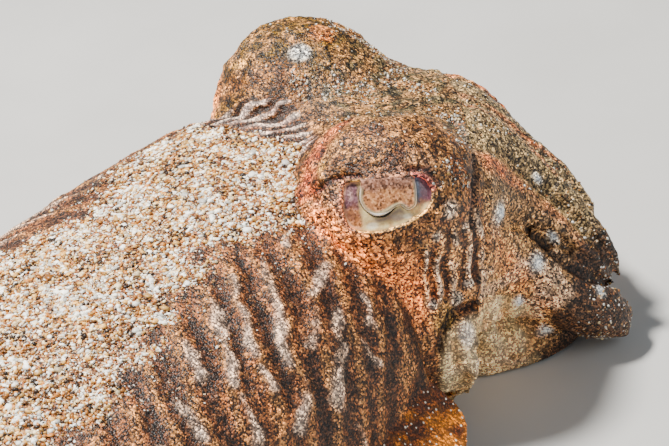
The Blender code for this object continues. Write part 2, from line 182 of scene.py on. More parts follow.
def along_spine(body):
    """How far along the spine points lie, and at which degrees round it: 0 on the back, and 180 under it."""
    along, places, heading = spine()
    nearest = np.zeros(len(body), int)
    for start in range(0, len(body), CHUNK):
        rel = body[start : start + CHUNK, None, :] - places[None, :, :]
        score = np.abs(np.einsum("ijk,jk->ij", rel, heading)) + 0.3 * length(rel)
        nearest[start : start + CHUNK] = np.argmin(score, axis=1)
    forward = heading[nearest]
    left = np.cross([0, 0, 1.0], forward)
    left /= length(left)[:, None]
    above = np.cross(forward, left)
    rel = body - places[nearest]
    around = np.degrees(np.arctan2(np.einsum("ij,ij->i", rel, left), np.einsum("ij,ij->i", rel, above)))
    return along[nearest] + np.einsum("ij,ij->i", rel, forward), np.abs(around)


# ---------------- noise

TABLE_BITS = 6
TABLE = np.random.default_rng(11).random(1 << 3 * TABLE_BITS)  # random numbers for a block of cells
SEED_STEP = np.array([7, 13, 29])


def lattice(cells, seed):
    """A random number from 0 to 1 for each whole-number cell."""
    x, y, z = ((cells + SEED_STEP * seed) & ((1 << TABLE_BITS) - 1)).T
    return TABLE[(x << 2 * TABLE_BITS) | (y << TABLE_BITS) | z]


def noise(points, size, seed):
    """Smooth noise from -1 to 1, with lumps of about `size` (in the points' own units)."""
    scaled = points / size
    cell = np.floor(scaled).astype(np.int32)
    x, y, z = smooth(scaled - cell).T

    def line(i, j):
        near = lattice(cell + np.array([i, j, 0]), seed)
        return near + (lattice(cell + np.array([i, j, 1]), seed) - near) * z

    def sheet(i):
        near = line(i, 0)
        return near + (line(i, 1) - near) * y

    near = sheet(0)
    return (near + (sheet(1) - near) * x) * 2 - 1


def fractal(points, size, seed):
    """Noise with two finer, fainter noises on top."""
    octaves = (noise(points, size / 2**k, seed + 17 * k) / 2**k for k in range(3))
    return sum(octaves) / 1.75


def cells(points, size, seed):
    """(distance to the nearest scattered point, a random number for that point), distances in cell sizes."""
    scaled = points / size
    cell = np.floor(scaled).astype(np.int32)
    best = np.full(len(points), 9.0)
    value = np.zeros(len(points))
    for offset in np.ndindex(3, 3, 3):
        near = cell + np.array(offset) - 1
        spot = near + np.stack([lattice(near, seed + k) for k in (1, 2, 3)], axis=1)
        distance = length(scaled - spot)
        closer = distance < best
        best = np.where(closer, distance, best)
        value = np.where(closer, lattice(near, seed + 4), value)
    return best, value


def bumps(points, size, seed):
    """(rounded bumps from 0 between them to 1 on their tops, a random number for each)."""
    distance, tone = cells(points, size, seed)
    return fall(distance, 0.72, 0.62) * (0.3 + 0.7 * tone), tone


# ---------------- strokes and spots


def from_path(points, path):
    """Distance of each point from a path of straight runs, and how far along the path, 0 to 1."""
    path = np.asarray(path, float)
    lengths = length(np.diff(path, axis=0))
    starts = np.concatenate([[0], np.cumsum(lengths)])
    best = np.full(len(points), 1e9)
    share = np.zeros(len(points))
    for k, (a, b) in enumerate(zip(path, path[1:])):
        run = b - a
        t = np.clip((points - a) @ run / max(run @ run, 1e-12), 0, 1)
        distance = length(points - a - t[:, None] * run)
        closer = distance < best
        best = np.where(closer, distance, best)
        share = np.where(closer, (starts[k] + t * lengths[k]) / starts[-1], share)
    return best, share


def stroke(points, path, half_width, soft=0.6):
    """1 on a path, falling to 0 past its half width."""
    distance, _ = from_path(points, path)
    return 1 - smooth((distance / half_width - (1 - soft)) / soft)


def spot(points, middle, radius, soft=0.6):
    distance = np.linalg.norm((points - np.array(middle)) / radius, axis=1)
    return 1 - smooth((distance - (1 - soft)) / soft)


def bell(x, middle, width):
    return np.exp(-(((x - middle) / width) ** 2))


CURVE_STEPS = 8  # from each point of a rounded path to the next


def rounded(path):
    """A smooth closed curve (Catmull-Rom) through the points of a path."""
    path = np.asarray(path, float)
    t = (np.arange(CURVE_STEPS) / CURVE_STEPS)[:, None]
    curve = []
    for k in range(len(path)):
        a, b, c, d = (path[(k + step) % len(path)] for step in (-1, 0, 1, 2))
        bend, twist = 2 * a - 5 * b + 4 * c - d, 3 * b - a - 3 * c + d
        curve.append(0.5 * (2 * b + (c - a) * t + bend * t**2 + twist * t**3))
    return np.concatenate(curve)


def signed_distance(points, curve):
    """Distance of points from a closed curve, less than 0 inside it."""
    closed = np.concatenate([curve, curve[:1]])
    distance, _ = from_path(points, closed)
    inside = np.zeros(len(points), bool)
    for (x0, y0), (x1, y1) in zip(closed, closed[1:]):
        if y0 != y1:
            crosses = (y0 > points[:, 1]) != (y1 > points[:, 1])
            inside ^= crosses & (points[:, 0] < x0 + (points[:, 1] - y0) * (x1 - x0) / (y1 - y0))
    return np.where(inside, -distance, distance)


# ---------------- meshes


def read(items, name, width=1, kind=float):
    """One property of all of a mesh's items, such as its vertices."""
    values = np.empty(len(items) * width, kind)
    items.foreach_get(name, values)
    return values.reshape(-1, width) if width > 1 else values


def vertex_array(mesh):
    return read(mesh.vertices, "co", 3)


def edge_array(mesh):
    return read(mesh.edges, "vertices", 2, np.int32)


def normals_of(mesh):
    return read(mesh.vertices, "normal", 3)


@contextmanager
def edited(mesh):
    """A mesh as a bmesh, which is written back to it in the end."""
    bm = bmesh.new()
    bm.from_mesh(mesh)
    bm.verts.ensure_lookup_table()
    yield bm
    bm.to_mesh(mesh)
    bm.free()


def neighbour_mean(values, edges):
    """The mean of each vertex's neighbours, for each column of values."""
    here, there = np.concatenate([edges, edges[:, ::-1]]).T
    links = np.maximum(np.bincount(here, minlength=len(values)), 1)
    return stacked(*(np.bincount(here, column[there], len(values)) / links for column in values.T))


def relax(points, edges, rounds, grip=0.53, keep=None):
    """Taubin smoothing, which evens out steps and keeps the volume."""
    for k in range(rounds * 2):
        step = 0.5 if k % 2 == 0 else -grip
        change = (neighbour_mean(points, edges) - points) * step
        points = points + (change if keep is None else change * keep[:, None])
    return points


def set_points(mesh, points):
    mesh.vertices.foreach_set("co", np.asarray(points, np.float32).ravel())
    mesh.update()


def mesh_from_arrays(name, points, faces):
    mesh = bpy.data.meshes.new(name)
    mesh.from_pydata(points, [], faces, shade_flat=False)
    return mesh


def new_object(name, data, material=None):
    if material:
        data.materials.append(material)
    obj = bpy.data.objects.new(name, data)
    bpy.context.scene.collection.objects.link(obj)
    return obj


def shade_smooth(mesh):
    mesh.polygons.foreach_set("use_smooth", np.ones(len(mesh.polygons), bool))


def store(mesh, name, values):
    """Stores a number, or a colour, for each vertex."""
    if values.ndim == 1:
        layer = mesh.attributes.new(name, "FLOAT", "POINT")
        layer.data.foreach_set("value", values.astype(np.float32))
    else:
        layer = mesh.attributes.new(name, "FLOAT_COLOR", "POINT")
        colours = np.concatenate([np.clip(values, 0, None), np.ones((len(values), 1))], axis=1)
        layer.data.foreach_set("color", colours.astype(np.float32).ravel())


def rgb(red, green, blue):
    """A colour as seen on a screen, 0 to 255, as the linear numbers that shaders use."""
    share = np.array([red, green, blue]) / 255
    return np.where(share <= 0.04045, share / 12.92, ((share + 0.055) / 1.055) ** 2.4)


def blend(under, over, amount):
    return under + (over - under) * np.clip(amount, 0, 1)[:, None]


class Paint:
    """The colours of points, painted over coat by coat."""

    def __init__(self, colour):
        self.colour = colour

    def over(self, colour, amount):
        self.colour = blend(self.colour, colour, amount)
        return self.colour

    def speckle(self, tone, strength=1.0):
        """Dots the colours with darker and lighter cells, by a random number for each cell."""
        self.over(self.colour * 0.30, strength * smooth((0.40 - tone) / 0.25))
        self.over(np.minimum(self.colour * 1.7 + 0.05, 0.9), strength * smooth((tone - 0.66) / 0.2))


# ---------------- the form of the skin

VOXEL = 0.52 * MM
SMOOTHING_ROUNDS = 14
TIP_ROUNDS = 12  # plain smoothing, which also blunts the tips of the arms
SOFT_ROUNDS = 60  # more of it on the tips of the arms, the web and the front of the fins
SWELL = {"base": 1.1, "tip": 0.5, "eye": 0.8, "other": 0.35}  # mm that a solid grows before all are joined
COAT_DEPTH = 0.15  # mm from the solids down to bare skin
SAND_DEPTH = 0.45  # mm more where sand covers it
DOME_SIZE = (18.8, 17.3, 17.8)
FIN_TIP_OUT = 53.5  # mm from the middle line to the front corner of a fin
FIN_TIP_EDGES = ((-0.585, -0.811), (-0.840, 0.541))  # directions of its two edges from there, forward and out
FIN_ROUND = 5.5  # mm, radius that the corner gets
FIN_SLOPE = 1.1  # mm that the fin falls for each mm out
DOME_POINTS = 5  # icosphere divisions
EYE_REFINED = 14.0  # mm round each eye where the skin's mesh is twice as fine

flesh_nodes = [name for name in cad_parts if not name.startswith("eye_")]


def swell_of(name):
    for part, amount in SWELL.items():
        if part in name:
            return amount
    return SWELL["other"]


def swollen(obj, amount):
    """A copy of a solid's mesh, welded and grown by `amount` millimetres."""
    mesh = obj.data.copy()
    with edited(mesh) as bm:
        bmesh.ops.remove_doubles(bm, verts=bm.verts, dist=1e-6)
        bmesh.ops.recalc_face_normals(bm, faces=bm.faces)
        bm.normal_update()
        for vert in bm.verts:
            vert.co += vert.normal * amount * MM
    return mesh


def dome_fill(side):
    """An ellipsoid that closes an eye socket with the round of its dome."""
    mesh = bpy.data.meshes.new("dome_fill")
    with edited(mesh) as bm:
        bmesh.ops.create_icosphere(bm, subdivisions=DOME_POINTS, radius=1)
        for vert in bm.verts:
            head = np.array(vert.co) * DOME_SIZE + np.array([DOME[0], side * DOME[1], DOME[2]])
            vert.co = Vector(to_world(turned(head)))
        bmesh.ops.recalc_face_normals(bm, faces=bm.faces)
    return mesh


def joined_solids():
    mesh = bpy.data.meshes.new("skin_rough")
    with edited(mesh) as bm:
        for name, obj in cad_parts.items():
            bm.from_mesh(swollen(obj, swell_of(name)))
        for side in SIDES.values():
            bm.from_mesh(dome_fill(side))
    return mesh


def remeshed(mesh):
    """One closed surface round all the bodies in a mesh."""
    obj = new_object("remesh_work", mesh)
    modifier = obj.modifiers.new("Remesh", "REMESH")
    modifier.mode = "VOXEL"
    modifier.voxel_size = VOXEL
    modifier.adaptivity = 0
    evaluated = obj.evaluated_get(bpy.context.evaluated_depsgraph_get())
    result = bpy.data.meshes.new_from_object(evaluated)
    bpy.data.objects.remove(obj)
    return result


def only_largest(mesh):
    """Drops loose islands, such as the walls of sealed hollows between the solids."""
    edges = edge_array(mesh)
    label = np.arange(len(mesh.vertices))
    while True:
        lower = np.minimum(label[edges[:, 0]], label[edges[:, 1]])
        new = label.copy()
        np.minimum.at(new, edges[:, 0], lower)
        np.minimum.at(new, edges[:, 1], lower)
        new = new[new]
        if np.array_equal(new, label):
            break
        label = new
    names, counts = np.unique(label, return_counts=True)
    drop = np.nonzero(label != names[np.argmax(counts)])[0]
    with edited(mesh) as bm:
        bmesh.ops.delete(bm, geom=[bm.verts[k] for k in drop], context="VERTS")


def solid_finder():
    """A function that gives the number, in flesh_nodes, of the solid nearest to each point."""
    verts, faces, owner = [], [], []
    for k, name in enumerate(flesh_nodes):
        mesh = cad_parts[name].data
        faces += [[len(verts) + v for v in polygon.vertices] for polygon in mesh.polygons]
        owner += [k] * len(mesh.polygons)
        verts += [v.co.copy() for v in mesh.vertices]
    tree = BVHTree.FromPolygons(verts, faces)
    return lambda points: np.array([owner[tree.find_nearest(Vector(point))[2]] for point in points])


def eye_frame(side_name):
    """(middle, outward, forward, up) of an eye in body coordinates, from its solid's place."""
    side = SIDES[side_name]
    low, high = (np.array(corner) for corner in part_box("eye_" + side_name))
    outward = turned(unit([EYE_DIRECTION[0], side * EYE_DIRECTION[1], EYE_DIRECTION[2]]))
    forward = unit(np.cross([0, 0, 1], outward)) * -side
    up = unit(np.cross(outward, forward)) * -side
    return to_body((low + high) / 2), outward, forward, up


def in_eye(body, side_name):
    """Body coordinates as an eye's own: forward, up, outward from its middle."""
    middle, outward, forward, up = eye_frame(side_name)
    return (body - middle) @ stacked(forward, up, outward)


def refine_near_eyes(mesh):
    points = to_body(vertex_array(mesh))
    near = np.zeros(len(points), bool)
    for name in SIDES:
        local = in_eye(points, name)
        near |= (length(local[:, :2]) < EYE_REFINED) & (local[:, 2] > 0)
    with edited(mesh) as bm:
        edges = [edge for edge in bm.edges if near[edge.verts[0].index] and near[edge.verts[1].index]]
        bmesh.ops.subdivide_edges(bm, edges=edges, cuts=1, use_grid_fill=True)
        bmesh.ops.triangulate(bm, faces=[face for face in bm.faces if len(face.verts) > 4])


# ---------------- where the sand lies

REGIONS = ("mantle", "head", "arms", "fin", "funnel")
LEAST_SHARE = 0.002  # of a region that a point must have to be counted in

# mm forward, and the degrees of girth where the sand on the mantle thins out.
SAND_EDGE = (
    (-100, 54), (-86, 54.5), (-77, 53.5), (-66, 55), (-56, 56), (-50, 57.5), (-43, 61), (-33, 67), (-27, 64),
    (-20, 59), (-13, 56),
)


def mantle_sand(at):
    forward, girth = np.array(SAND_EDGE, float).T
    above = at.girth - np.interp(at.forward, forward, girth)
    ragged = 8 * at.fractal(13, 3) + 6 * at.noise(3.2, 5)
    dense = smooth((above + ragged) / 12 + 0.45) * np.clip(0.90 + 0.35 * at.fractal(9, 8), 0, 1)
    dense *= smooth((6.5 - at.forward + 2 * at.noise(3, 7)) / 3)
    return np.maximum(dense, 0.10 * rise(above, -34, 26) * smooth(at.noise(4, 6) + 0.6))


def head_sand(at):
    ahead, side, up = at.head.T
    crown = smooth((ahead - 24 + 3 * at.noise(5, 9)) / 8) * rise(up, 50, 6)
    between = fall(side, 16, 6) * rise(ahead, 12, 5)
    covered = np.maximum(0.30 * crown, 0.36 * between) * np.clip(0.25 + 2.2 * at.fractal(5, 12), 0, 1)
    return np.maximum(covered, 0.06 * rise(up, 60, 5))


def arm_sand(at):
    tips = smooth((at.spine - 71 - 4 * rise(at.around, 45, 20) + 4 * at.fractal(6, 15)) / 8)
    tips *= fall(at.around, 92, 12)
    upper = fall(at.around, 52, 25) * rise(at.spine, 36, 8)
    spread = np.clip(0.6 + 0.9 * at.fractal(6, 16), 0, 1)
    return np.maximum(np.maximum(0.16 * tips, 0.13 * upper * spread), 0.05 * spread)


def by_region(at, region, columns=1, **makers):
    """Adds up what each region's maker gives, asked only for the points that belong to the region."""
    total = np.zeros((len(at.body), columns))
    for name, maker in makers.items():
        chosen = np.nonzero(region[name] > LEAST_SHARE)[0]
        total[chosen] += maker(at.some(chosen)).reshape(len(chosen), -1) * region[name][chosen, None]
    return total if columns > 1 else total[:, 0]


def sand_cover(at, region):
    """How much sand lies on the skin, 0 to 1."""
    return by_region(at, region, mantle=mantle_sand, head=head_sand, arms=arm_sand)


# ---------------- relief

FOLDS_APART, WEB_FOLDS_APART = 3.6, 5.6  # mm, on the cheek and the nape, and on the web
LID_REACH = 16  # mm round the middle of an eye that its lids and creases take up
EYE_RECESS = 0.95  # mm from the lids' skin down to the eye
LID_EDGE = (  # of the right eye's opening as a closed curve, mm forward and up of the eye's middle
    (-8.3, 5.0), (-7.2, 5.9), (-4.7, 6.0), (0.5, 5.8), (5.6, 5.3), (7.7, 4.6), (9.0, 2.7), (9.2, 1.1),
    (8.4, -0.9), (6.0, -2.7), (3.1, -3.9), (0.0, -4.5), (-4.3, -4.5), (-7.8, -3.2), (-8.8, -1.3), (-9.0, 1.8),
)
BACK_LID_CREASE = ((-13.0, 4.8), (-10.4, 6.4), (-7.6, 7.0), (-4.6, 6.7))
FRONT_LID_CREASE = ((5.0, 6.7), (7.8, 6.3), (9.9, 4.6), (10.7, 2.4))
LOWER_FOLDS = (
    ((-11.0, 2.0), (-10.9, -2.0), (-9.0, -5.2)),
    ((-13.4, 3.0), (-13.3, -2.5), (-11.0, -6.8)),
    ((-7.5, -6.4), (-2.0, -6.9), (3.5, -5.6), (8.0, -3.4), (11.0, -0.4)),
)

# Pale bars on the flank: mm forward and degrees of girth along each, and its half width in mm.
FLANK_BARS = (
    ((-42, 55), (-47, 47), 1.3), ((-35, 56), (-40, 47), (-45, 39), 1.0), ((-27, 56), (-30, 51), 0.9),
    ((-30, 50), (-34, 43), (-41, 33), 1.3), ((-17, 43), (-25, 41), 1.1), ((-27, 37), (-34, 32), 1.2),
    ((-28, 27), (-36, 19), 1.7), ((-23, 33), (-28, 30), 1.2), ((-16, 32), (-18, 26), 1.0),
    ((-23, 25), (-22, 18), 0.9), ((-48, 46), (-53, 36), 1.1), ((-40, 26), (-48, 21), 1.6),
    ((-53, 52), (-57, 43), 1.2), ((-46, 36), (-47, 31), 0.9), ((-64, 42), (-66, 33), 1.4),
    ((-17, 56), (-20, 55), 0.9), ((-54, 33), (-57, 25), 1.2), ((-34, 10), (-35, 2), 1.1),
    ((-48, 10), (-51, 3), 1.2), ((-61, 15), (-64, 7), 1.2), ((-74, 36), (-78, 26), 1.4),
    ((-73, 17), (-76, 10), 1.1), ((-86, 44), (-90, 35), 1.3), ((-98, 30), (-102, 20), 1.4),
    ((-112, 40), (-116, 30), 1.3), ((-126, 30), (-130, 21), 1.2),
)
GIRTH_MM = 0.8  # mm of skin for each degree of girth on the flank
STRIPES_FROM, STRIPES_APART = -52.0, 8.55  # mm forward of one ridge at 40 degrees of girth, and to the next

# Places on the head, mm forward, to the side and up, both sides alike. Knobs have a radius and a height in
# mm, spots a radius, or one each way, and the mauve ones how strong they are.
KNOBS = (
    ((19.8, 41.9, 34.2), 1.2, 1.0), ((25.2, 41.5, 33.2), 1.4, 1.0), ((28.9, 40.2, 35.0), 1.1, 0.9),
    ((35.0, 39.5, 30.5), 1.0, 0.7),
)
CHEEK_WHITES = (((27.4, 39.9, 53.4), 2.8), ((23.0, 40.8, 49.5), 1.6), ((30.5, 38.4, 47.5), 1.8))
WEB_WHITES = (((28.5, 45.5, 15.5), (3.4, 7, 7)), ((25.5, 43.5, 25.5), (2.4, 5, 4)))
FAR_DOME_WHITES = (((19.0, 16.0, 66.0), 3.2), ((22.5, 11.5, 66.0), 2.0))
FAR_DOME_ORANGES = (((13.0, 36.0, 64.0), 4.5), ((26.0, 20.0, 66.0), 4.0))
DOME_MAUVES = (((5.0, 33.0, 55.5), (6.5, 8, 8.5), 0.55), ((22.0, 34.0, 61.0), (7, 7, 6), 0.25))
RED_ARC = ((15.0, 13.0, 64.0), (8.0, 18.5, 61.5), (3.0, 24.0, 57.5))
YELLOW_DASH = ((7.9, 22.6, 63.8), (7.4, 24.4, 62.0))
CHEEK = ((1.5, 31.0, 52.5), (8.0, 38.0, 46.5), (14.0, 41.0, 42.5), (17.0, 42.5, 36.0))
DOME_FRONT = ((31.0, 33.0, 58.0), (33.5, 36.0, 50.0))
CREASE = (
    (35.2, 39.2, 32.0), (31.5, 40.4, 30.2), (28.0, 41.3, 30.6), (23.4, 42.1, 30.8), (20.6, 43.0, 28.0),
    (19.2, 43.6, 23.5),
)
DOME_GROOVE = (
    (41.0, 13.0, 55.0), (41.5, 19.0, 54.0), (39.5, 27.0, 54.5), (36.0, 33.0, 54.0), (33.5, 37.0, 50.0),
    (32.5, 38.2, 47.0),
)

# On the arms, mm along the spine and half the degrees round it, which are about as long: paths, and spots
# with a radius and a height in mm.
LOBE_CREASE = ((59, 29), (66, 28), (70, 27), (75, 23), (80, 14))
UPPER_BAND = ((42, 21.5), (53, 21), (58, 20.5), (64, 18), (69, 18))
LOWER_BAND = ((37, 35.5), (48, 35.5), (56, 37), (65, 38.5), (73, 37.5))
TOP_BAND = ((30, 1), (46, 3), (58, 6))
ARM_SPOTS = (
    ((48, 30), 1.9, 0.6), ((64, 25), 1.4, 0.5), ((64, 33), 2.0, 0.7), ((67, 43), 1.5, 0.6),
    ((79, 49), 1.5, 0.5), ((78, 23), 1.2, 0.4), ((56, 13), 1.1, 0.4),
)


def lid_distance(flat):
    """Distance in millimetres of points (forward, up) from the lids' edge, less than 0 inside the opening."""
    return signed_distance(flat, rounded(LID_EDGE))


def near_eye(at, name):
    """(indices of the skin points round an eye, their eye coordinates, distance from the lids' edge)."""
    local = in_eye(at.body, name)
    near = np.nonzero((length(local[:, :2]) < LID_REACH) & (local[:, 2] > -2))[0]
    return near, local[near], lid_distance(local[near, :2])


def soft_lid(flat):
    """1 in the middle of the upper lid, where the skin runs on softly down the eye's flap."""
    return smooth((flat[:, 1] - 3.2) / 1.8) * smooth((5.4 - np.abs(flat[:, 0] - 0.6)) / 2.2)


def lid_relief(local, distance):
    """Millimetres that the skin round an eye stands out, from the lids' edge and folds."""
    flat = local[:, :2]
    soft = soft_lid(flat)
    sunk = -2.6 * smooth(-distance / (0.30 + 1.5 * soft))
    rim = 0.09 * bell(distance, 0.22, 0.26) * (1 - soft)
    creases = -0.45 * stroke(flat, BACK_LID_CREASE, 0.7) - 0.55 * stroke(flat, FRONT_LID_CREASE, 0.7)
    swelling = 0.45 * bell(distance, 3.6, 1.9) * smooth((flat[:, 1] - 4) / 3)
    folds = -0.30 * sum(stroke(flat, path, 0.8, 0.9) for path in LOWER_FOLDS)
    return sunk + rim + creases + swelling + folds


def bars(at):
    """How strongly each point lies on a pale bar of the flank, 0 to 1."""
    flat = stacked(at.forward, at.girth * GIRTH_MM)
    flat = flat + stacked(at.noise(3.5, 31), at.noise(3.5, 32)) * 0.9
    found = np.zeros(len(flat))
    for *path, half_width in FLANK_BARS:
        distance, share = from_path(flat, [(ahead, girth * GIRTH_MM) for ahead, girth in path])
        width = half_width * (0.7 + 0.5 * share)
        found = np.maximum(found, (1 - smooth(distance / width / 1.9)) * (0.65 + 0.35 * share))
    return found * np.clip(0.9 + 0.35 * at.noise(2.6, 33), 0, 1)


def zebra(at):
    """The flank's upright stripes, -1 in dark valleys to 1 on pale ridges."""
    wander = 2.4 * at.fractal(12, 41) + 1.3 * at.noise(4, 42)
    place = at.forward - 0.5 * (at.girth - 40) + wander
    return np.cos(2 * math.pi * (place - STRIPES_FROM) / STRIPES_APART)


def cheek_folds(at):
    """The upright folds of the cheek, -1 in their valleys to 1 on their crests."""
    ahead, _, up = at.head.T
    wander = 1.3 * at.noise(6, 56) + 0.6 * at.noise(2.4, 57)
    wave = np.sin(2 * math.pi * (ahead - 0.15 * (up - 40) + wander) / FOLDS_APART)
    where = rise(ahead, 17, 3) * fall(ahead, 37, 3) * rise(up, 32, 4) * fall(up, 51, 6)
    return wave * where * np.clip(0.80 + 0.7 * at.noise(4.0, 58), 0.2, 1)


def nape_folds(at):
    """The oblique folds behind the eye domes, -1 in their valleys to 1 on their crests."""
    ahead, side, up = at.head.T
    front = np.minimum(23.5 - 1.1 * side, 14)
    where = smooth((front - ahead) / 2.5) * fall(side, 24, 4) * rise(up, 44, 4) * rise(at.forward, 1, 3)
    wander = 1.5 * at.noise(6, 74) + 0.8 * at.noise(2.5, 76)
    return where * np.sin(2 * math.pi * (at.head_left + 0.2 * ahead + wander) / FOLDS_APART)


def web_share(at):
    """How much each point belongs to the pale web, low between the head and the lower arms."""
    ahead, side, up = at.head.T
    top = np.interp(ahead, (20, 24, 30, 35, 40, 45, 49), (28.0, 29.5, 29.5, 27.5, 23.5, 18.0, 9.0))
    behind = np.interp(up, (20, 25, 28.4, 31.7), (18.0, 19.0, 20.5, 23.0))
    ragged = at.fractal(6, 75)
    inside = smooth((ahead - behind) / 1.6) * smooth((top - up + ragged) / 2.5)
    return inside * smooth((50 - ahead + 3 * ragged) / 6) * rise(side, 18, 8)


def web_folds(at):
    """Soft upright folds of the web, -1 in their valleys to 1 on their crests."""
    return np.sin(2 * math.pi * (at.head[:, 0] + 1.5 * at.noise(7, 77) - 24) / WEB_FOLDS_APART)


def along_arms(at):
    return stacked(at.spine, at.around / 2)


def lumpy(at, lump, papilla):
    """Millimetres that the skin's lumps and its small papillae add."""
    return lump * at.bumps(2.4, 50)[0] + papilla * at.bumps(1.3, 51)[0]


def mantle_relief(at):
    flank = 0.20 * zebra(at) * fall(at.girth, 66, 12) * rise(at.girth, -10, 12)
    skin_folds = flank * (1 - at.cover) + 0.42 * nape_folds(at)
    return 0.24 * at.fractal(5, 53) + 0.20 * at.bumps(1.4, 52)[0] + 0.50 * bars(at) + skin_folds


def head_relief(at):
    amount = 0.25 * at.fractal(6, 54) + lumpy(at, 0.34, 0.22)
    for middle, radius, height in KNOBS:
        amount += height * spot(at.head, middle, radius, 0.9)
    amount += 0.60 * cheek_folds(at) + 0.42 * nape_folds(at) + 0.35 * web_share(at) * web_folds(at)
    return amount - 1.1 * stroke(at.head, CREASE, 1.5, 0.9) - 1.1 * stroke(at.head, DOME_GROOVE, 2.1, 0.95)


def arm_relief(at):
    amount = 0.30 * at.fractal(5, 55) + lumpy(at, 0.30, 0.22) + 0.45 * web_share(at) * web_folds(at)
    for middle, radius, height in ARM_SPOTS:
        amount += height * spot(along_arms(at), middle, radius * 1.2, 0.9)
    return amount - 1.5 * stroke(along_arms(at), LOBE_CREASE, 1.9, 0.9)


def fin_relief(at):
    return 0.06 * at.bumps(1.2, 59)[0]


def relief(at, region):
    """Millimetres that the skin stands out, less near the floor."""
    amount = by_region(at, region, mantle=mantle_relief, head=head_relief, arms=arm_relief, fin=fin_relief)
    amount *= 0.2 + 0.8 * smooth(at.up / 8)
    for name in SIDES:
        near, local, distance = near_eye(at, name)
        amount[near] = amount[near] * smooth(distance / 1.4) + lid_relief(local, distance)
    return amount


# ---------------- markings of the skin

BLACK_BROWN = rgb(44, 27, 20)
DARK_BROWN = rgb(78, 45, 28)
BROWN = rgb(138, 84, 46)
TAN = rgb(212, 154, 92)
PALE = rgb(234, 224, 216)
BAR_PALE = rgb(240, 212, 194)
BLUE_WHITE = rgb(206, 216, 226)
ORANGE = rgb(244, 134, 58)
RED = rgb(220, 86, 44)
YELLOW = rgb(230, 176, 76)
GOLD = rgb(196, 150, 22)
MAUVE = rgb(184, 142, 132)
PURPLE = rgb(92, 56, 64)
LID_SKIN = rgb(168, 118, 96)
SLATE = rgb(92, 92, 100)
OLIVE = rgb(140, 128, 68)
GREY_GREEN = rgb(104, 108, 84)
WEB_PALE = rgb(240, 218, 178)
AMBER = rgb(240, 142, 14)
AMBER_DARK = rgb(120, 60, 22)
UNDERSIDE = rgb(200, 182, 160)

def ground(at, seed):
    """(mottled brown skin with tan lumps, broad noise, fine noise, the lumps)."""
    blotch, fine = at.fractal(9, seed), at.fractal(2.0, seed + 1)
    lumps, lump_tone = at.bumps(2.4, 50)
    papillae, tone = at.bumps(1.3, 51)
    paint = Paint(blend(BROWN, DARK_BROWN, 0.60 + 0.6 * blotch - 0.5 * fine))
    paint.over(TAN, 0.85 * lumps * (0.3 + 0.7 * lump_tone) + 0.4 * papillae * tone)
    return paint, blotch, fine, lumps


def nape_paint(at, paint, fine):
    nape = nape_folds(at)
    lilac = blend(MAUVE, PALE, 0.45 + 0.6 * fine)
    paint.over(DARK_BROWN, 0.8 * smooth(np.abs(nape) / 0.15))
    paint.over(lilac, 0.90 * smooth((nape - 0.15 + 0.3 * fine) / 0.5))
    return paint.over(BLACK_BROWN, 0.95 * smooth((-nape + 0.10 + 0.3 * fine) / 0.5))


def mantle_colour(at):
    blotch, fine = at.fractal(8, 61), at.fractal(2.2, 62)
    lumps, tone = at.bumps(1.4, 52)
    stripes = zebra(at)
    paint = Paint(blend(BROWN, DARK_BROWN, 0.72 + 0.8 * blotch + 0.4 * fine))
    paint.over(TAN, 0.50 * smooth((stripes - 0.3 + 0.9 * fine) / 1.0) + 0.40 * lumps * tone)
    paint.over(BLACK_BROWN, 0.80 * smooth((-stripes + 0.05 + 0.8 * fine + 0.5 * blotch) / 0.9))
    paint.over(BAR_PALE * 1.1, 0.92 * smooth((bars(at) - 0.22 + 0.40 * fine) / 0.80))
    nape_paint(at, paint, fine)
    # Darker brown where sand lies: painted shade between the grains.
    paint.over(DARK_BROWN * 1.25, 0.85 * at.cover)
    belly = smooth((2 - at.up + 3 * at.noise(6, 63)) / 8 + (-at.girth - 8) / 40)
    return paint.over(UNDERSIDE, belly)


def web_paint(at):
    """How much each point has the web's colour, which fades out ragged upward and forward."""
    share = web_share(at)
    forward_of_web = np.maximum(at.head[:, 0] - 30, 0)
    return share * smooth(0.25 + share + 1.1 * at.fractal(3.5, 79) - 0.035 * forward_of_web)


def web_colour(at):
    fine = at.fractal(3.0, 73)
    paint = Paint(blend(TAN * 0.8, WEB_PALE, 0.66 + 0.7 * fine + 0.25 * web_folds(at)))
    paint.over(OLIVE, 0.5 * smooth(at.fractal(5, 78) + 0.35))
    white = np.max([spot(at.head, middle, radius) for middle, radius in WEB_WHITES], axis=0)
    return blend(paint.colour * 1.30, PALE * 1.5, 0.85 * white * (0.9 + 0.5 * fine))


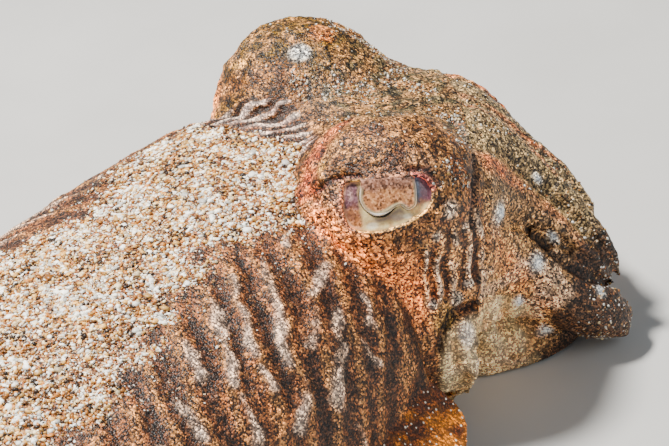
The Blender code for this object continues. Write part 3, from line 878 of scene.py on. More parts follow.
def head_colour(at):
    head = at.head
    ahead, side, up = head.T
    right = fall(at.head_left, 6, 8)
    paint, blotch, fine, lumps = ground(at, 71)
    paint.over(GREY_GREEN * (0.6 + 0.7 * lumps)[:, None], 0.75 * rise(ahead, 12, 10) * fall(side, 26, 10))
    gold = (1 - right) * fall(ahead, 38, 14) * rise(side, 8, 9)
    paint.over(GOLD * (0.16 + 0.46 * lumps)[:, None], 0.98 * gold * rise(up, 36, 10))
    paint.colour *= (1 - 0.52 * rise(up, 50, 8))[:, None]
    for middle, radius in FAR_DOME_ORANGES:
        paint.over(ORANGE, (1 - right) * 0.8 * spot(head, middle, radius, 0.9) * (0.8 + fine))
    mauve = sum(strength * spot(head, middle, radius) for middle, radius, strength in DOME_MAUVES)
    paint.over(MAUVE, mauve * right * (0.9 + 0.6 * fine))
    red = stroke(head, RED_ARC, 5.5, 0.95)
    paint.over(RED * 0.8, red * (0.75 + 0.9 * fine) * (0.15 + 0.85 * right))
    paint.over(YELLOW, 0.8 * stroke(head, YELLOW_DASH, 1.6, 0.8))
    cheek = stroke(head, CHEEK, 9.0, 0.95)
    paint.over(TAN * 1.5, 0.8 * cheek)
    paint.over(ORANGE * 2.2, 0.9 * cheek * (0.80 + 0.5 * blotch + 0.8 * fine))
    front = stroke(head, DOME_FRONT, 4.0, 0.95)
    paint.over((RED + TAN) / 2, front * (0.5 + 0.7 * fine))
    folds = cheek_folds(at)
    folds = np.sign(folds) * np.abs(folds) ** 0.6
    paint.over(TAN * 1.6, 0.85 * smooth((folds + 0.15 + 0.5 * fine) / 0.7))
    paint.over(PALE * 1.2, 0.65 * smooth((folds - 0.20 + 0.6 * fine) / 0.8))
    # Dark brown in the valleys of the cheek folds: painted shade.
    paint.over(DARK_BROWN * 0.7, 0.80 * smooth((-folds - 0.05 + 0.3 * fine) / 0.7))
    for middle, radius in CHEEK_WHITES:
        paint.over(PALE, 0.80 * spot(head, middle, radius, 0.9) * (0.9 + 0.5 * fine))
    paint.over(OLIVE, 0.6 * spot(head, (21.5, 42.5, 31.0), (4, 5, 5)))
    paint.over(web_colour(at), 0.95 * web_paint(at))
    # Near black along the crease above the web: painted shade in the crease.
    paint.over(BLACK_BROWN, 0.85 * stroke(head, CREASE, 1.4, 0.9))
    # Near black in the groove in front of the dome: painted shade in the groove.
    paint.over(SLATE * 0.30, 0.85 * stroke(head, DOME_GROOVE, 3.3, 0.98))
    for middle, radius, _ in KNOBS:
        paint.over(PALE * 1.35, 0.95 * spot(head, middle, radius * 1.4, 0.8))
    for middle, radius in FAR_DOME_WHITES:
        paint.over(BLUE_WHITE, 0.85 * spot(head, middle, radius, 0.6) * (at.head_left > 0))
    nape_paint(at, paint, fine)
    return paint.over(UNDERSIDE, fall(up, 7, 6) * fall(side, 32, 8))


def arm_colour(at):
    paint, blotch, fine, _ = ground(at, 81)
    flat = along_arms(at)
    paint.over(GREY_GREEN * 0.75, 0.70 * smooth((46 - at.around + 8 * blotch) / 18))
    paint.over(TAN * 1.1, 0.75 * rise(at.around, 52, 12) * (0.8 + 0.9 * fine))
    paint.over(rgb(170, 148, 112) * 1.1, 0.35 + 0.3 * fine)
    pale = smooth((at.fractal(4.5, 82) - 0.02) / 0.25) * rise(at.around, 50, 10)
    paint.over(BAR_PALE, 0.45 * pale)
    upper = 0.62 * stroke(flat, UPPER_BAND, 3.4, 0.98) * (1 - 0.6 * rise(at.spine, 48, 12))
    top = 0.45 * stroke(flat, TOP_BAND, 1.6, 0.9)
    band = np.maximum(upper, top) * (0.70 + 1.3 * fine + 0.5 * blotch)
    paint.over(0.55 * ORANGE + 0.45 * RED, band)
    lower = 0.60 * stroke(flat, LOWER_BAND, 4.8, 0.98) * (0.65 + 1.5 * fine + 0.7 * blotch)
    paint.over((0.65 * ORANGE + 0.35 * TAN) * 1.1, lower)
    start = 67.5 + 5 * rise(at.around, 45, 20) + 8 * rise(at.around, 75, 25)
    lobe = smooth((at.spine - start + 2 * blotch + 1.5 * fine) / 4)
    paint.over(BLACK_BROWN * (1.5 + 1.5 * np.clip(fine, 0, 1))[:, None], 0.93 * lobe)
    paint.over(web_colour(at), 0.95 * web_paint(at))
    for middle, radius, _ in ARM_SPOTS:
        paint.over(BLUE_WHITE * 1.7, 0.95 * spot(flat, middle, radius * 1.55, 0.9) * (0.95 + 0.4 * fine))
    # Dark along the crease between the upper and lower lobes of the arms: painted shade in the crease.
    paint.over(BLACK_BROWN * 0.6, 0.9 * stroke(flat, LOBE_CREASE, 1.5, 0.8))
    return paint.over(UNDERSIDE, 0.8 * rise(at.around, 128, 18))


def fin_colour(at):
    """Amber, brown towards the root and grey at the edge."""
    edge = rise(at.fin_share, 0.82, 0.14)
    root = fall(at.fin_share, 0.45, 0.35)
    colour = blend(AMBER, AMBER_DARK * 0.8, 0.30 + 0.6 * root + 1.4 * at.fractal(4, 91))
    return blend(colour * 0.72, SLATE * 1.3, 0.6 * edge)


def funnel_colour(at):
    return np.tile(UNDERSIDE * 0.8, (len(at.body), 1))


def lid_colours(colour, local, distance):
    """The skin's colours round an eye, with the lids' rims and the shadows of their folds."""
    flat = local[:, :2]
    soft = soft_lid(flat)
    paint = Paint(colour)
    paint.over(LID_SKIN, 0.85 * smooth(1 - distance / 2.6) * soft)
    rim = bell(distance, -0.06, 0.14) * (1 - soft)
    pink = smooth((flat[:, 0] - 4) / 3) * smooth((flat[:, 1] - 0.8) / 2)
    rim_colour = blend(rgb(244, 196, 112), rgb(244, 112, 118), pink)
    back = smooth((-flat[:, 0] - 6.5) / 1.5)
    rim_colour = blend(rim_colour, rgb(244, 150, 108), back)
    paint.over(rgb(236, 148, 112), 0.7 * bell(distance, 0.15, 0.35) * back)
    paint.over(rim_colour, 0.85 * rim)
    paint.over(rgb(238, 120, 122), 0.8 * bell(distance, 0.35, 0.35) * pink)
    for path in (BACK_LID_CREASE, FRONT_LID_CREASE):
        paint.over(PURPLE * 0.7, 0.8 * stroke(flat, path, 0.75, 0.85))
    # Dark purple where the skin sinks inside the lids' edge: painted shade in the recess, lid skin instead
    # under the soft upper lid.
    inner = blend(PURPLE * 0.5, LID_SKIN, soft)
    return paint.over(inner, smooth((-distance - 0.12) / 0.3))


def skin_colour(at, region):
    makers = (mantle_colour, head_colour, arm_colour, fin_colour, funnel_colour)
    colour = by_region(at, region, 3, **dict(zip(REGIONS, makers)))
    for name in SIDES:
        near, local, distance = near_eye(at, name)
        colour[near] = lid_colours(colour[near], local, distance)
    return colour


# ---------------- making the skin

SOFT_FIN_FROM = -26  # mm forward, from where the fins are smoothed more
SOFT_ARMS_FROM, BLUNT_ARMS_FROM = 68, 71  # mm along the spine, from where the arms are softened and blunted


def regions_of(nearest_solid, points, edges):
    """How much each point belongs to each region, and how much its solid was swollen."""
    owner = nearest_solid(points)
    kinds = np.array([name.split("_")[0].replace("arm", "arms") for name in flesh_nodes])[owner]
    swell = np.array([swell_of(name) for name in flesh_nodes])[owner]
    columns = np.stack([kinds == kind for kind in REGIONS] + [swell], axis=1).astype(float)
    for _ in range(3):
        columns = 0.4 * columns + 0.6 * neighbour_mean(columns, edges)
    return dict(zip(REGIONS, columns.T)), columns[:, -1]


def fin_share(body, region):
    """How far out along the fin a point lies, 0 at its root and 1 at its edge."""
    widest = (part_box("fin_left")[1][0] - NECK[0]) / MM
    root_out = (mantle_high[0] - NECK[0]) / MM
    out = (np.abs(body[:, 1]) - root_out) / (widest - root_out)
    drop = (18.5 - body[:, 2]) / 14
    return np.clip(np.maximum(out, drop), 0, 1) * (region["fin"] > 0.01)


def with_round_fins(body, share):
    """Body coordinates with the corner at the front of each fin drawn in to a round."""
    tip = np.array([(NECK[1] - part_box("fin_left")[0][1]) / MM, FIN_TIP_OUT])
    edges = [np.array(edge) for edge in FIN_TIP_EDGES]
    half = math.acos(edges[0] @ edges[1]) / 2
    centre = tip + unit(edges[0] + edges[1]) * FIN_ROUND / math.sin(half)
    square = [unit(tip - centre - ((tip - centre) @ edge) * edge) for edge in edges]
    flat = stacked(body[:, 0], np.abs(body[:, 1])) - centre
    distance = np.maximum(length(flat), 1e-6)
    way = flat / distance[:, None]
    reach = FIN_ROUND / np.maximum(np.maximum(way @ square[0], way @ square[1]), 0.1)
    inner = 0.5 * FIN_ROUND
    drawn = inner + (distance - inner) * (FIN_ROUND - inner) / np.maximum(reach - inner, 1e-6)
    outward = unit(tip - centre)
    corner = (way @ outward > square[0] @ outward) & (distance > inner) & (share > 0.02)
    change = np.where(corner, drawn / distance - 1, 0)[:, None] * flat * np.minimum(share * 1.5, 1)[:, None]
    moved = body.copy()
    moved[:, 0] += change[:, 0]
    moved[:, 1] += np.sign(body[:, 1]) * change[:, 1]
    moved[:, 2] -= FIN_SLOPE * change[:, 1]
    return moved


def dotted_share(at, region):
    """How strongly the skin is dotted, less on its pale markings."""
    flat = along_arms(at)
    spots = np.max([spot(flat, middle, radius * 1.3, 0.9) for middle, radius, _ in ARM_SPOTS], axis=0)
    plain = 0.38 * np.maximum(region["fin"], web_share(at)) + 0.20 * bars(at) + 0.5 * spots * region["arms"]
    plain += 0.35 * np.abs(nape_folds(at)) * (region["head"] + region["mantle"])
    return np.clip(1 - plain, 0.3, 1)


def make_skin():
    """(the skin's object, the places of its points, their regions, the surface round each eye)"""
    mesh = remeshed(joined_solids())
    only_largest(mesh)
    edges = edge_array(mesh)
    points = relax(vertex_array(mesh), edges, SMOOTHING_ROUNDS)
    set_points(mesh, points)
    nearest_solid = solid_finder()
    region, swell = regions_of(nearest_solid, points, edges)
    rough = Places(points)
    fin, arms = region["fin"], region["arms"]
    soft = np.maximum(fin * rise(rough.forward, SOFT_FIN_FROM, 6), web_share(rough) * (1 - fin))
    soft = np.maximum(soft, arms * rise(rough.spine, SOFT_ARMS_FROM, 6))
    near = edges[(soft > 0.01)[edges].any(axis=1)]
    points = relax(points, near, SOFT_ROUNDS, keep=soft)
    points = relax(points, near, TIP_ROUNDS, grip=0, keep=arms * rise(rough.spine, BLUNT_ARMS_FROM, 5))
    points = to_world(with_round_fins(to_body(points), fin))
    inward = swell + COAT_DEPTH + SAND_DEPTH * sand_cover(rough, region) * (1 - fin)
    points = points - normals_of(mesh) * (inward * MM)[:, None]
    set_points(mesh, relax(points, edges, 3))
    refine_near_eyes(mesh)

    points = vertex_array(mesh)
    edges = edge_array(mesh)
    points = relax(points, edges, 2)
    set_points(mesh, points)
    region, _ = regions_of(nearest_solid, points, edges)
    at = Places(points)
    at.fin_share = fin_share(at.body, region)
    at.cover = sand_cover(at, region)
    eye_surfaces = {name: lid_surface(at, name) for name in SIDES}
    points = points + normals_of(mesh) * (relief(at, region) * MM)[:, None]
    points[:, 2] = np.maximum(points[:, 2], 0.0)
    set_points(mesh, points)
    shade_smooth(mesh)
    store(mesh, "markings", skin_colour(at, region))
    store(mesh, "sandy", at.cover)
    store(mesh, "thin", region["fin"])
    store(mesh, "dotted", dotted_share(at, region))
    skin = new_object("skin", mesh, skin_material())
    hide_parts(*flesh_nodes)
    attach(skin, "root")
    return skin, at, region, eye_surfaces


# ---------------- eyes

EYE_RINGS, BACK_RINGS, EYE_SEGMENTS = 96, 12, 300
EYE_REACH = 10.4  # mm from the middle of the eye out to its widest ring
EYE_TURNS_IN = 9.6  # mm from the middle, where its front starts to curve back
EYE_BACK = 9.0  # mm from that ring back to the eye's rear
FLAP_EDGE = (  # of the flap that hangs over the pupil, as the lids' edge is given
    (-5.3, 9.0), (-4.9, 6.5), (-4.8, 5.0), (-5.1, 3.6), (-5.3, 2.2), (-5.0, 0.9), (-4.3, -0.3), (-2.8, -1.4),
    (-1.2, -1.5), (0.2, -1.0), (1.3, -0.4), (2.4, -0.1), (3.1, -0.7), (3.9, -1.3), (4.9, -1.0), (5.6, -0.4),
    (5.9, 1.0), (6.1, 3.0), (6.0, 5.0), (5.8, 9.0),
)


def surface_terms(forward, up):
    return stacked(np.ones_like(forward), forward, up, forward**2, forward * up, up**2)


def lid_surface(at, name):
    """Coefficients of the smooth surface, outward of the eye's middle, that the skin round an eye lies on."""
    local = in_eye(at.body, name)
    reach = length(local[:, :2] - np.array([0.3, 1.0]))
    near = local[(reach < 11.5) & (local[:, 2] > 2)]
    return np.linalg.lstsq(surface_terms(near[:, 0], near[:, 1]), near[:, 2], rcond=None)[0]


def eye_look(flat):
    """(relief in mm, colours) of the eye's front at points forward and up of its middle."""
    distance = signed_distance(flat, rounded(FLAP_EDGE))
    lid = lid_distance(flat)
    forward, up = flat.T
    points = stacked(forward, up, np.zeros(len(flat)))
    fine = fractal(points, 0.9, 101)
    _, tone = cells(points, 0.36, 102)
    on_flap = smooth(-distance / 0.12)
    low = fall(up, 4.9, 1.4)
    # The slit is open along the flap's hinder lobe and shut to a line elsewhere.
    slit = smooth(1 - (distance - 0.10 - 0.30 * bell(forward, -0.9, 1.7)) / 0.08) * (distance > 0)
    slit *= fall(forward, 2.0, 0.8) * low
    relief_mm = 0.40 * smooth(-distance / 0.30) + 0.14 * bell(distance, -0.42, 0.34) * low - 0.40 * slit
    relief_mm += 0.62 * rise(up, 2.4, 3.2) * on_flap  # the flap runs on from the upper lid
    relief_mm += 0.35 * rise(lid, -1.3, 1.3) * (1 - on_flap)
    relief_mm -= 1.3 * rise(lid, 0.05, 0.9)

    iris = Paint(blend(rgb(250, 228, 164), rgb(206, 170, 116), 0.45 + 0.9 * fine))
    iris.over(rgb(168, 122, 104), 0.65 * spot(flat, (6.0, -0.6), (2.6, 1.6), 0.9) * (0.8 + 0.6 * fine))
    # Purple-grey band just below the flap's edge: painted shade under the flap.
    iris.over(rgb(132, 110, 112), 0.75 * bell(distance, 0.85, 0.50) * fall(np.abs(forward), 4.2, 2))
    iris.over(rgb(176, 160, 158), 0.6 * spot(flat, (1.6, -2.4), (2.0, 0.9)))
    # Two near-white spots on the lower iris: painted highlights.
    for middle, sizes in (((-3.6, -3.3), (1.6, 0.9)), ((3.6, -2.4), (1.3, 0.7))):
        iris.over(rgb(246, 242, 216), 0.8 * spot(flat, middle, sizes))
    back_corner = smooth((-forward - 4.8 - 0.5 * fine + 0.05 * up) / 1.2)
    corner = Paint(blend(rgb(104, 66, 74), rgb(186, 118, 66), smooth((1.8 - up + 2 * fine) / 4)))
    corner.over(rgb(206, 160, 152), 0.5 * spot(flat, (-7.1, 3.4), (1.0, 2.0), 0.9))
    corner.speckle(tone, 0.75)
    corner.over(rgb(240, 178, 138), 0.85 * smooth((lid + 0.9 + 0.4 * fine) / 0.7))
    iris.over(corner.colour, back_corner)
    front = Paint(blend(rgb(88, 92, 116), rgb(112, 66, 80), smooth((forward - 6.2 + fine) / 1.4)))
    front.over(rgb(166, 116, 84), smooth((0.6 - up + 1.5 * fine) / 1.6))
    front.speckle(tone, 0.45)
    iris.over(front.colour, rise(forward, 5.7, 0.4) * rise(up, -1.0, 1.0))
    iris.over(rgb(226, 166, 84), 0.8 * rise(lid, -0.40, 0.3) * fall(up, 1.0, 2))
    iris.over(rgb(56, 66, 72), 0.8 * bell(distance, 0.10, 0.12) * rise(forward, 5.0, 0.5) * low)
    gold = bell(distance, 0.05, 0.10) * rise(forward, 2.0, 0.5) * fall(forward, 5.6, 0.5)
    iris.over(rgb(132, 92, 44), 0.8 * gold)

    flap = Paint(blend(rgb(206, 136, 84), LID_SKIN, smooth((up - 2.4 + fine) / 2.0)))
    flap.over(rgb(130, 80, 52), 0.25 + 0.6 * fine)
    flap.speckle(tone)
    band = 0.75 + 0.5 * bell(forward, -1.0, 3.0)
    flap.over(rgb(198, 184, 142), 0.80 * smooth((distance + band) / 0.5) * low)
    white = 0.14 + 0.50 * bell(forward, -2.2, 2.2) + 0.12 * rise(forward, 2, 1)
    flap.over(rgb(255, 252, 246) * 1.3, 0.95 * smooth((distance + white) / 0.18) * low)
    flap.over(rgb(112, 98, 80), 0.5 * bell(distance, -white - 0.12, 0.10) * low)
    iris.over(flap.colour, on_flap)
    return relief_mm, iris.over(rgb(12, 9, 11), slit)


def make_eye(side_name, surface, material):
    """The whole eyeball: a finely shaped front behind the lids, and a plain round back."""
    middle, outward, forward, up = eye_frame(side_name)
    angle = np.arange(EYE_SEGMENTS) * 2 * math.pi / EYE_SEGMENTS
    radius = EYE_REACH * np.linspace(0, 1, EYE_RINGS + 1)[1:]
    flat = (radius[:, None, None] * stacked(np.cos(angle), np.sin(angle))).reshape(-1, 2)
    flat = np.concatenate([[[0, 0]], flat])
    relief_mm, colours = eye_look(flat)
    height = surface_terms(*flat.T) @ surface - EYE_RECESS + relief_mm
    height -= 2.2 * rise(length(flat), EYE_TURNS_IN, 0.8)
    front = np.concatenate([flat, height[:, None]], axis=1)
    rim = front[-EYE_SEGMENTS:]
    polar = np.linspace(0, math.pi / 2, BACK_RINGS + 2)[1:-1]
    behind = np.array([0, 0, EYE_BACK])
    back = [rim * (math.cos(t), math.cos(t), math.cos(t) ** 2) - behind * math.sin(t) for t in polar]
    rings = np.concatenate([front, *back, [-behind]])
    body = middle + rings @ np.stack([forward, up, outward])
    count, turns = EYE_RINGS + len(polar), EYE_SEGMENTS
    k = np.arange(turns)
    after = (k + 1) % turns
    faces = [stacked(np.zeros(turns, int), 1 + k, 1 + after)]
    for ring in range(count - 1):
        a, b = 1 + ring * turns, 1 + (ring + 1) * turns
        faces.append(stacked(a + k, b + k, b + after))
        faces.append(stacked(a + k, b + after, a + after))
    last = 1 + (count - 1) * turns
    faces.append(stacked(last + k, np.full(turns, len(rings) - 1), last + after))
    mesh = mesh_from_arrays("eyeball_" + side_name, to_world(body), np.concatenate(faces))
    with edited(mesh) as bm:
        bmesh.ops.recalc_face_normals(bm, faces=bm.faces)
    shade_smooth(mesh)
    whole = np.concatenate([colours, np.tile(rgb(190, 170, 150), (len(rings) - len(colours), 1))])
    store(mesh, "markings", whole)
    eye = new_object("eyeball_" + side_name, mesh, material)
    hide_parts("eye_" + side_name)
    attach(eye, "root")


# ---------------- sand

GRAINS = 42000
GRAINS_PER_PIECE = 9000
GRAIN_RADIUS = (0.14, 0.46)  # mm, smallest and largest, but for the flakes
FLAKES, FLAKE_RADIUS = 0.09, 0.28  # share of grains that are flat bits of shell, and how much larger they are
GRAIN_SUNK = 0.25  # share of a grain's radius that sinks into the skin
GRAIN_COLOURS = (  # from pale to dark, and how common each is
    (rgb(255, 253, 243), 0.29),
    (rgb(248, 222, 172), 0.15),
    (rgb(222, 170, 90), 0.18),
    (rgb(186, 118, 46), 0.15),
    (rgb(124, 82, 42), 0.13),
    (rgb(54, 40, 32), 0.10),
)
PATCH = 0.003  # size of a grain's patch on the OFBake map


def icosahedron():
    bm = bmesh.new()
    bmesh.ops.create_icosphere(bm, subdivisions=1, radius=1)
    points = np.array([vert.co[:] for vert in bm.verts])
    faces = np.array([[vert.index for vert in face.verts] for face in bm.faces])
    bm.free()
    return points, faces


def skin_unwrap(at):
    """A place from 0 to 1 each way for each point: along the body, and round its middle line."""
    body = at.body
    along = (body[:, 0] - body[:, 0].min()) / np.ptp(body[:, 0])
    around = np.arctan2(body[:, 2] - 20.0, body[:, 1]) / (2 * math.pi) + 0.5
    return stacked(0.02 + 0.96 * along, 0.02 + 0.96 * around)


def scattered(mesh, weights, count, rng):
    """(corner vertices, shares of them) of random places on a mesh, as dense as the points' weights say."""
    mesh.calc_loop_triangles()
    triangles = read(mesh.loop_triangles, "vertices", 3, np.int32)
    a, b, c = (vertex_array(mesh)[triangles[:, k]] for k in range(3))
    weight = length(np.cross(b - a, c - a)) * weights[triangles].mean(axis=1)
    chosen = np.searchsorted(np.cumsum(weight), rng.random(count) * weight.sum())
    chosen = np.sort(np.clip(chosen, 0, len(triangles) - 1))
    share = rng.random((count, 2))
    share = np.where(share.sum(axis=1, keepdims=True) > 1, 1 - share, share)
    return triangles[chosen], stacked(1 - share.sum(axis=1), share[:, 0], share[:, 1])


def grain_shapes(roots, normal, radius, rng):
    """Corners of every grain, and the faces of one."""
    count = len(roots)
    shape, faces = icosahedron()
    stretch = rng.uniform(0.40, 1.65, (count, 1, 3))
    rough = rng.uniform(0.75, 1.2, (count, len(shape), 1))
    spin = np.linalg.qr(rng.normal(size=(count, 3, 3)))[0]
    local = np.einsum("ijk,ikl->ijl", shape[None] * stretch * rough, spin) * radius[:, None, None] * MM
    flatness = np.where(radius > GRAIN_RADIUS[1], 0.62, 0.25)
    local -= np.einsum("ijk,ik,i->ij", local, normal, flatness)[..., None] * normal[:, None, :]
    centre = roots + normal * (radius * (1 - GRAIN_SUNK) * 0.55 * (1 - flatness * 0.6) * MM)[:, None]
    return centre[:, None, :] + local, shape, faces


def make_sand(skin, at, region, rng):
    """Irregular grains scattered over the skin where its cover says, in a few joined pieces."""
    material = grain_material()
    clumps = 0.35 + 0.65 * smooth(0.5 + 1.2 * at.noise(2.2, 111))
    density = np.clip(at.cover - 0.02, 0, 1) ** 1.25 * clumps
    corners, share = scattered(skin.data, density, GRAINS, rng)
    values = np.concatenate([vertex_array(skin.data), normals_of(skin.data), skin_unwrap(at)], axis=1)
    values = np.concatenate([values, region["mantle"][:, None], at.cover[:, None]], axis=1)
    values = np.einsum("ij,ijk->ik", share, values[corners])
    roots, normal, unwrap, (on_back, cover) = values[:, :3], values[:, 3:6], values[:, 6:8], values[:, 8:].T
    thick = rise(cover, 0.1, 0.5)  # loose grains off the sandy back are small
    normal /= length(normal)[:, None]
    low, high = GRAIN_RADIUS
    radius = low + (high - low) * rng.random(GRAINS) ** 1.7
    radius += FLAKE_RADIUS * (rng.random(GRAINS) < FLAKES * on_back * thick) * rng.uniform(0.4, 1.3, GRAINS)
    radius *= 0.65 + 0.35 * thick
    grains, shape, faces = grain_shapes(roots, normal, radius, rng)

    tints, odds = zip(*GRAIN_COLOURS)
    pick = rng.random(GRAINS) - 0.34 * noise(roots / MM, 3.2, 112)
    pick -= 0.30 * (radius > high) + 0.25 * (1 - on_back)
    tint = np.array(tints)[np.searchsorted(np.cumsum(odds[:-1]), pick)]
    tint *= rng.uniform(0.55, 1.75, (GRAINS, 1)) * (0.60 + 0.40 * on_back * thick)[:, None]
    inside = ((grains > cad_bounds[0]) & (grains < cad_bounds[1])).all(axis=(1, 2))
    kept = np.nonzero(inside & (grains[..., 2].min(axis=1) > 0))[0]
    for number, start in enumerate(range(0, len(kept), GRAINS_PER_PIECE), 1):
        some = kept[start : start + GRAINS_PER_PIECE]
        name, first = f"sand_{number}", np.arange(len(some))[:, None, None] * len(shape)
        mesh = mesh_from_arrays(name, grains[some].reshape(-1, 3), (faces + first).reshape(-1, 3))
        store(mesh, "grain", np.repeat(tint[some], len(shape), axis=0))
        patch = unwrap[some][:, None, :] + PATCH * 0.5 * shape[None, :, :2]
        layer = mesh.uv_layers.new(name="OFBake")
        loops = read(mesh.loops, "vertex_index", kind=np.int32)
        layer.uv.foreach_set("vector", np.asarray(patch.reshape(-1, 2)[loops], np.float32).ravel())
        piece = new_object(name, mesh, material)
        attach(piece, "root")


# ---------------- materials


class Shader:
    """Short ways to add nodes to a new material."""

    def __init__(self, name):
        self.material = bpy.data.materials.new(name)
        self.material.use_nodes = True
        self.tree = self.material.node_tree
        self.surface = self.tree.nodes["Principled BSDF"].inputs

    def node(self, kind, **values):
        made = self.tree.nodes.new("ShaderNode" + kind)
        for name, value in values.items():
            setattr(made, name, value)
        return made

    def put(self, socket, value):
        """Links an input to another node's output, or sets it to a number or a colour."""
        if isinstance(value, bpy.types.NodeSocket):
            self.tree.links.new(value, socket)
        else:
            socket.default_value = value if isinstance(value, (int, float)) else (*value, 1)

    def attribute(self, name, output="Fac"):
        return self.node("Attribute", attribute_name=name).outputs[output]

    def texture(self, kind, size_mm):
        """A texture in the object's own space, with cells or lumps of a size."""
        made = self.node(kind)
        self.put(made.inputs["Scale"], 1 / (size_mm * MM))
        self.put(made.inputs["Vector"], self.node("TexCoord").outputs["Object"])
        return made

    def voronoi(self, cell_mm):
        """(distance from the middle of each cell, and two random numbers for each cell)."""
        made, split = self.texture("TexVoronoi", cell_mm), self.node("SeparateColor")
        self.put(split.inputs[0], made.outputs["Color"])
        return made.outputs["Distance"], split.outputs["Red"], split.outputs["Green"]

    def noise(self, lump_mm, detail=2.0):
        made = self.texture("TexNoise", lump_mm)
        self.put(made.inputs["Detail"], detail)
        return made.outputs["Fac"]

    def math(self, operation, *values):
        made = self.node("Math", operation=operation)
        for socket, value in zip(made.inputs, values):
            self.put(socket, value)
        return made.outputs[0]

    def ramp(self, source, *stops, interpolation="LINEAR"):
        made = self.node("ValToRGB")
        ramp = made.color_ramp
        ramp.interpolation = interpolation
        while len(ramp.elements) < len(stops):
            ramp.elements.new(0.5)
        for element, (position, colour) in zip(ramp.elements, stops):
            element.position = position
            element.color = (*(colour if np.ndim(colour) else (colour,) * 3), 1)
        self.put(made.inputs[0], source)
        return made.outputs[0]

    def mix(self, factor, a, b, kind="MIX"):
        made = self.node("Mix", data_type="RGBA", blend_type=kind)
        for number, value in ((0, factor), (6, a), (7, b)):
            self.put(made.inputs[number], value)
        return made.outputs[2]

    def bump(self, height, strength, depth_mm, under=None):
        made = self.node("Bump")
        self.put(made.inputs["Strength"], strength)
        self.put(made.inputs["Distance"], depth_mm * MM)
        self.put(made.inputs["Height"], height)
        if under is not None:
            self.put(made.inputs["Normal"], under)
        return made.outputs[0]

    def finish(self, colour, normal, roughness, **others):
        """The material, with its surface's inputs given."""
        for name, value in {"Base Color": colour, "Roughness": roughness, "Normal": normal, **others}.items():
            if value is not None:
                self.put(self.surface[name], value)
        return self.material


SKIN_DOTS = (
    (0.0, (0.04, 0.03, 0.03)), (0.34, (0.22, 0.18, 0.16)), (0.58, (0.95, 0.89, 0.80)),
    (0.82, (2.5, 2.2, 1.75)), (1.0, (5.4, 4.6, 3.4)),
)
FINE_SAND = (
    (0.0, rgb(52, 36, 30)), (0.22, rgb(116, 70, 40)), (0.42, rgb(188, 112, 56)), (0.60, rgb(220, 164, 100)),
    (0.78, rgb(240, 214, 178)), (0.90, rgb(255, 252, 246)),
)
FIN_WHITE = (1.3, 1.15, 0.95)


def skin_material():
    shader = Shader("skin")
    markings = shader.attribute("markings", "Color")

    # Colour cells of the skin: dense dark and light dots over the markings.
    dots, tone, _ = shader.voronoi(0.37)
    speckles = shader.mix(1.0, markings, shader.ramp(tone, *SKIN_DOTS), "MULTIPLY")
    _, _, broad = shader.voronoi(0.95)
    grey = shader.ramp(broad, (0.0, 0.45), (0.5, 0.95), (1.0, 1.6))
    shown = shader.mix(shader.attribute("dotted"), markings, shader.mix(0.9, speckles, grey, "MULTIPLY"))

    # White dots on the fins.
    specks, chance, _ = shader.voronoi(1.15)
    near = shader.math("LESS_THAN", specks, 0.22)
    some = shader.math("GREATER_THAN", chance, 0.35)
    on_fin = shader.ramp(shader.attribute("thin"), (0.6, 0.0), (0.9, 0.9))
    shown = shader.mix(shader.math("MULTIPLY", shader.math("MULTIPLY", near, some), on_fin), shown, FIN_WHITE)

    # Sand too fine to be grains of its own.
    _, kind, chance = shader.voronoi(0.40)
    sand = shader.ramp(kind, *FINE_SAND, interpolation="CONSTANT")
    patches = shader.math("ADD", 0.45, shader.ramp(shader.noise(2.2), (0.32, 0.0), (0.62, 1.0)))
    sandy = shader.ramp(shader.attribute("sandy"), (0.05, 0.0), (0.85, 0.85))
    covered = shader.math("GREATER_THAN", shader.math("MULTIPLY", sandy, patches), chance)

    pits = shader.bump(shader.noise(0.28), 0.6, 0.16, shader.bump(dots, 0.8, -0.22))
    rough = shader.ramp(shader.noise(0.9), (0.3, 0.36), (0.7, 0.55))
    return shader.finish(shader.mix(covered, shown, sand), pits, rough, **{"Specular IOR Level": 0.45})


def grain_material():
    shader = Shader("sand_grain")
    flecks = shader.ramp(shader.noise(0.25), (0.30, 0.72), (0.70, 1.22))
    colour = shader.mix(0.8, shader.attribute("grain", "Color"), flecks, "MULTIPLY")
    return shader.finish(colour, shader.bump(shader.noise(0.15), 0.3, 0.08), 0.42)


def eye_material():
    shader = Shader("eye")
    streaks = shader.ramp(shader.noise(0.30), (0.30, 0.86), (0.70, 1.12))
    colour = shader.mix(0.7, shader.attribute("markings", "Color"), streaks, "MULTIPLY")
    wet = {"Coat Weight": 0.4, "Coat Roughness": 0.14}
    return shader.finish(colour, shader.bump(shader.noise(0.35), 0.15, 0.08), 0.32, **wet)


def floor_material():
    shader = Shader("floor")
    grey = shader.ramp(shader.noise(40, 3.0), (0.3, rgb(196, 196, 194)), (0.7, rgb(204, 204, 202)))
    return shader.finish(grey, None, 0.85)


# ---------------- camera, lights and floor

VIEW_AZIMUTH, VIEW_ELEVATION, VIEW_ROLL = (math.radians(angle) for angle in (224, 34, 10))
VIEW_DISTANCE = 0.45
VIEW_WIDTH = 0.1338  # of the picture at the right eye
EYE_RIGHT_OF_MIDDLE, EYE_ABOVE_MIDDLE = 0.0107, 0.0040
SENSOR = 36.0
FLOOR_HALF = 1.5
KEY_LIGHT = dict(right=-0.42, up=0.62, back=0.30, size=0.14, watts=18.5, colour=(1.0, 0.96, 0.90))
FILL_LIGHT = dict(right=0.55, up=0.30, back=0.60, size=0.60, watts=1.8, colour=(0.86, 0.94, 1.0))
SKY = 0.22


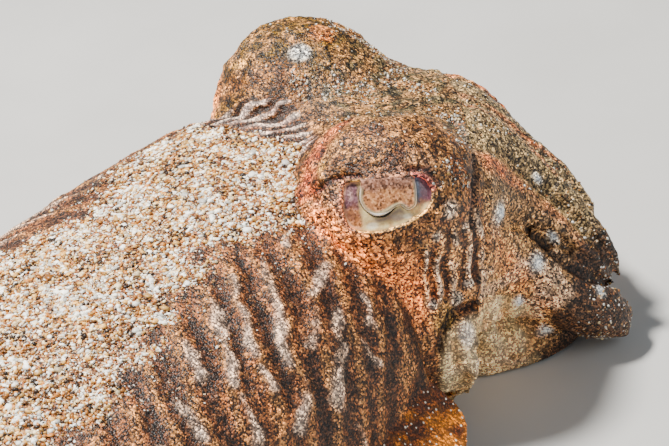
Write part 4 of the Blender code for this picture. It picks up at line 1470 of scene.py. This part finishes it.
def view_axes():
    """(target, right, up, back) of the camera in the world."""
    low, high = (Vector(corner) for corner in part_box("eye_right"))
    level = Vector((math.cos(VIEW_AZIMUTH), math.sin(VIEW_AZIMUTH), 0))
    away = level.cross((0, 0, 1))
    back = away * math.cos(VIEW_ELEVATION) + Vector((0, 0, math.sin(VIEW_ELEVATION)))
    above = back.cross(level)
    right = level * math.cos(VIEW_ROLL) - above * math.sin(VIEW_ROLL)
    up = above * math.cos(VIEW_ROLL) + level * math.sin(VIEW_ROLL)
    return (low + high) / 2, right, up, back


def make_camera():
    target, right, up, back = view_axes()
    data = bpy.data.cameras.new("camera")
    data.sensor_width = SENSOR
    data.lens = SENSOR * VIEW_DISTANCE / VIEW_WIDTH
    data.clip_start = 0.01
    camera = new_object("camera", data)
    place = target + back * VIEW_DISTANCE - right * EYE_RIGHT_OF_MIDDLE - up * EYE_ABOVE_MIDDLE
    camera.matrix_world = Matrix.Translation(place) @ Matrix((right, up, back)).transposed().to_4x4()
    bpy.context.scene.camera = camera


def make_light(name, right, up, back, size, watts, colour):
    target, view_right, view_up, view_back = view_axes()
    data = bpy.data.lights.new(name, "AREA")
    data.shape = "DISK"
    data.size = size
    data.energy = watts
    data.color = colour
    light = new_object(name, data)
    away = view_right * right + view_up * up + view_back * back
    light.location = target + away
    light.rotation_euler = away.to_track_quat("Z", "Y").to_euler()


def make_surroundings():
    world = bpy.data.worlds.new("studio")
    world.use_nodes = True
    background = world.node_tree.nodes["Background"]
    background.inputs["Color"].default_value = (0.92, 0.96, 1.0, 1)
    background.inputs["Strength"].default_value = SKY
    bpy.context.scene.world = world
    corners = [(x * FLOOR_HALF, y * FLOOR_HALF, -0.0002) for x, y in ((-1, -1), (1, -1), (1, 1), (-1, 1))]
    mesh = bpy.data.meshes.new("floor")
    mesh.from_pydata(corners, [], [(0, 1, 2, 3)])
    new_object("floor", mesh, floor_material())


# ---------------- all together

make_camera()
make_light("key", **KEY_LIGHT)
make_light("fill", **FILL_LIGHT)
make_surroundings()
skin_object, skin_at, skin_region, surfaces = make_skin()
eye_look_material = eye_material()
for side_name in SIDES:
    make_eye(side_name, surfaces[side_name], eye_look_material)
make_sand(skin_object, skin_at, skin_region, np.random.default_rng(7))
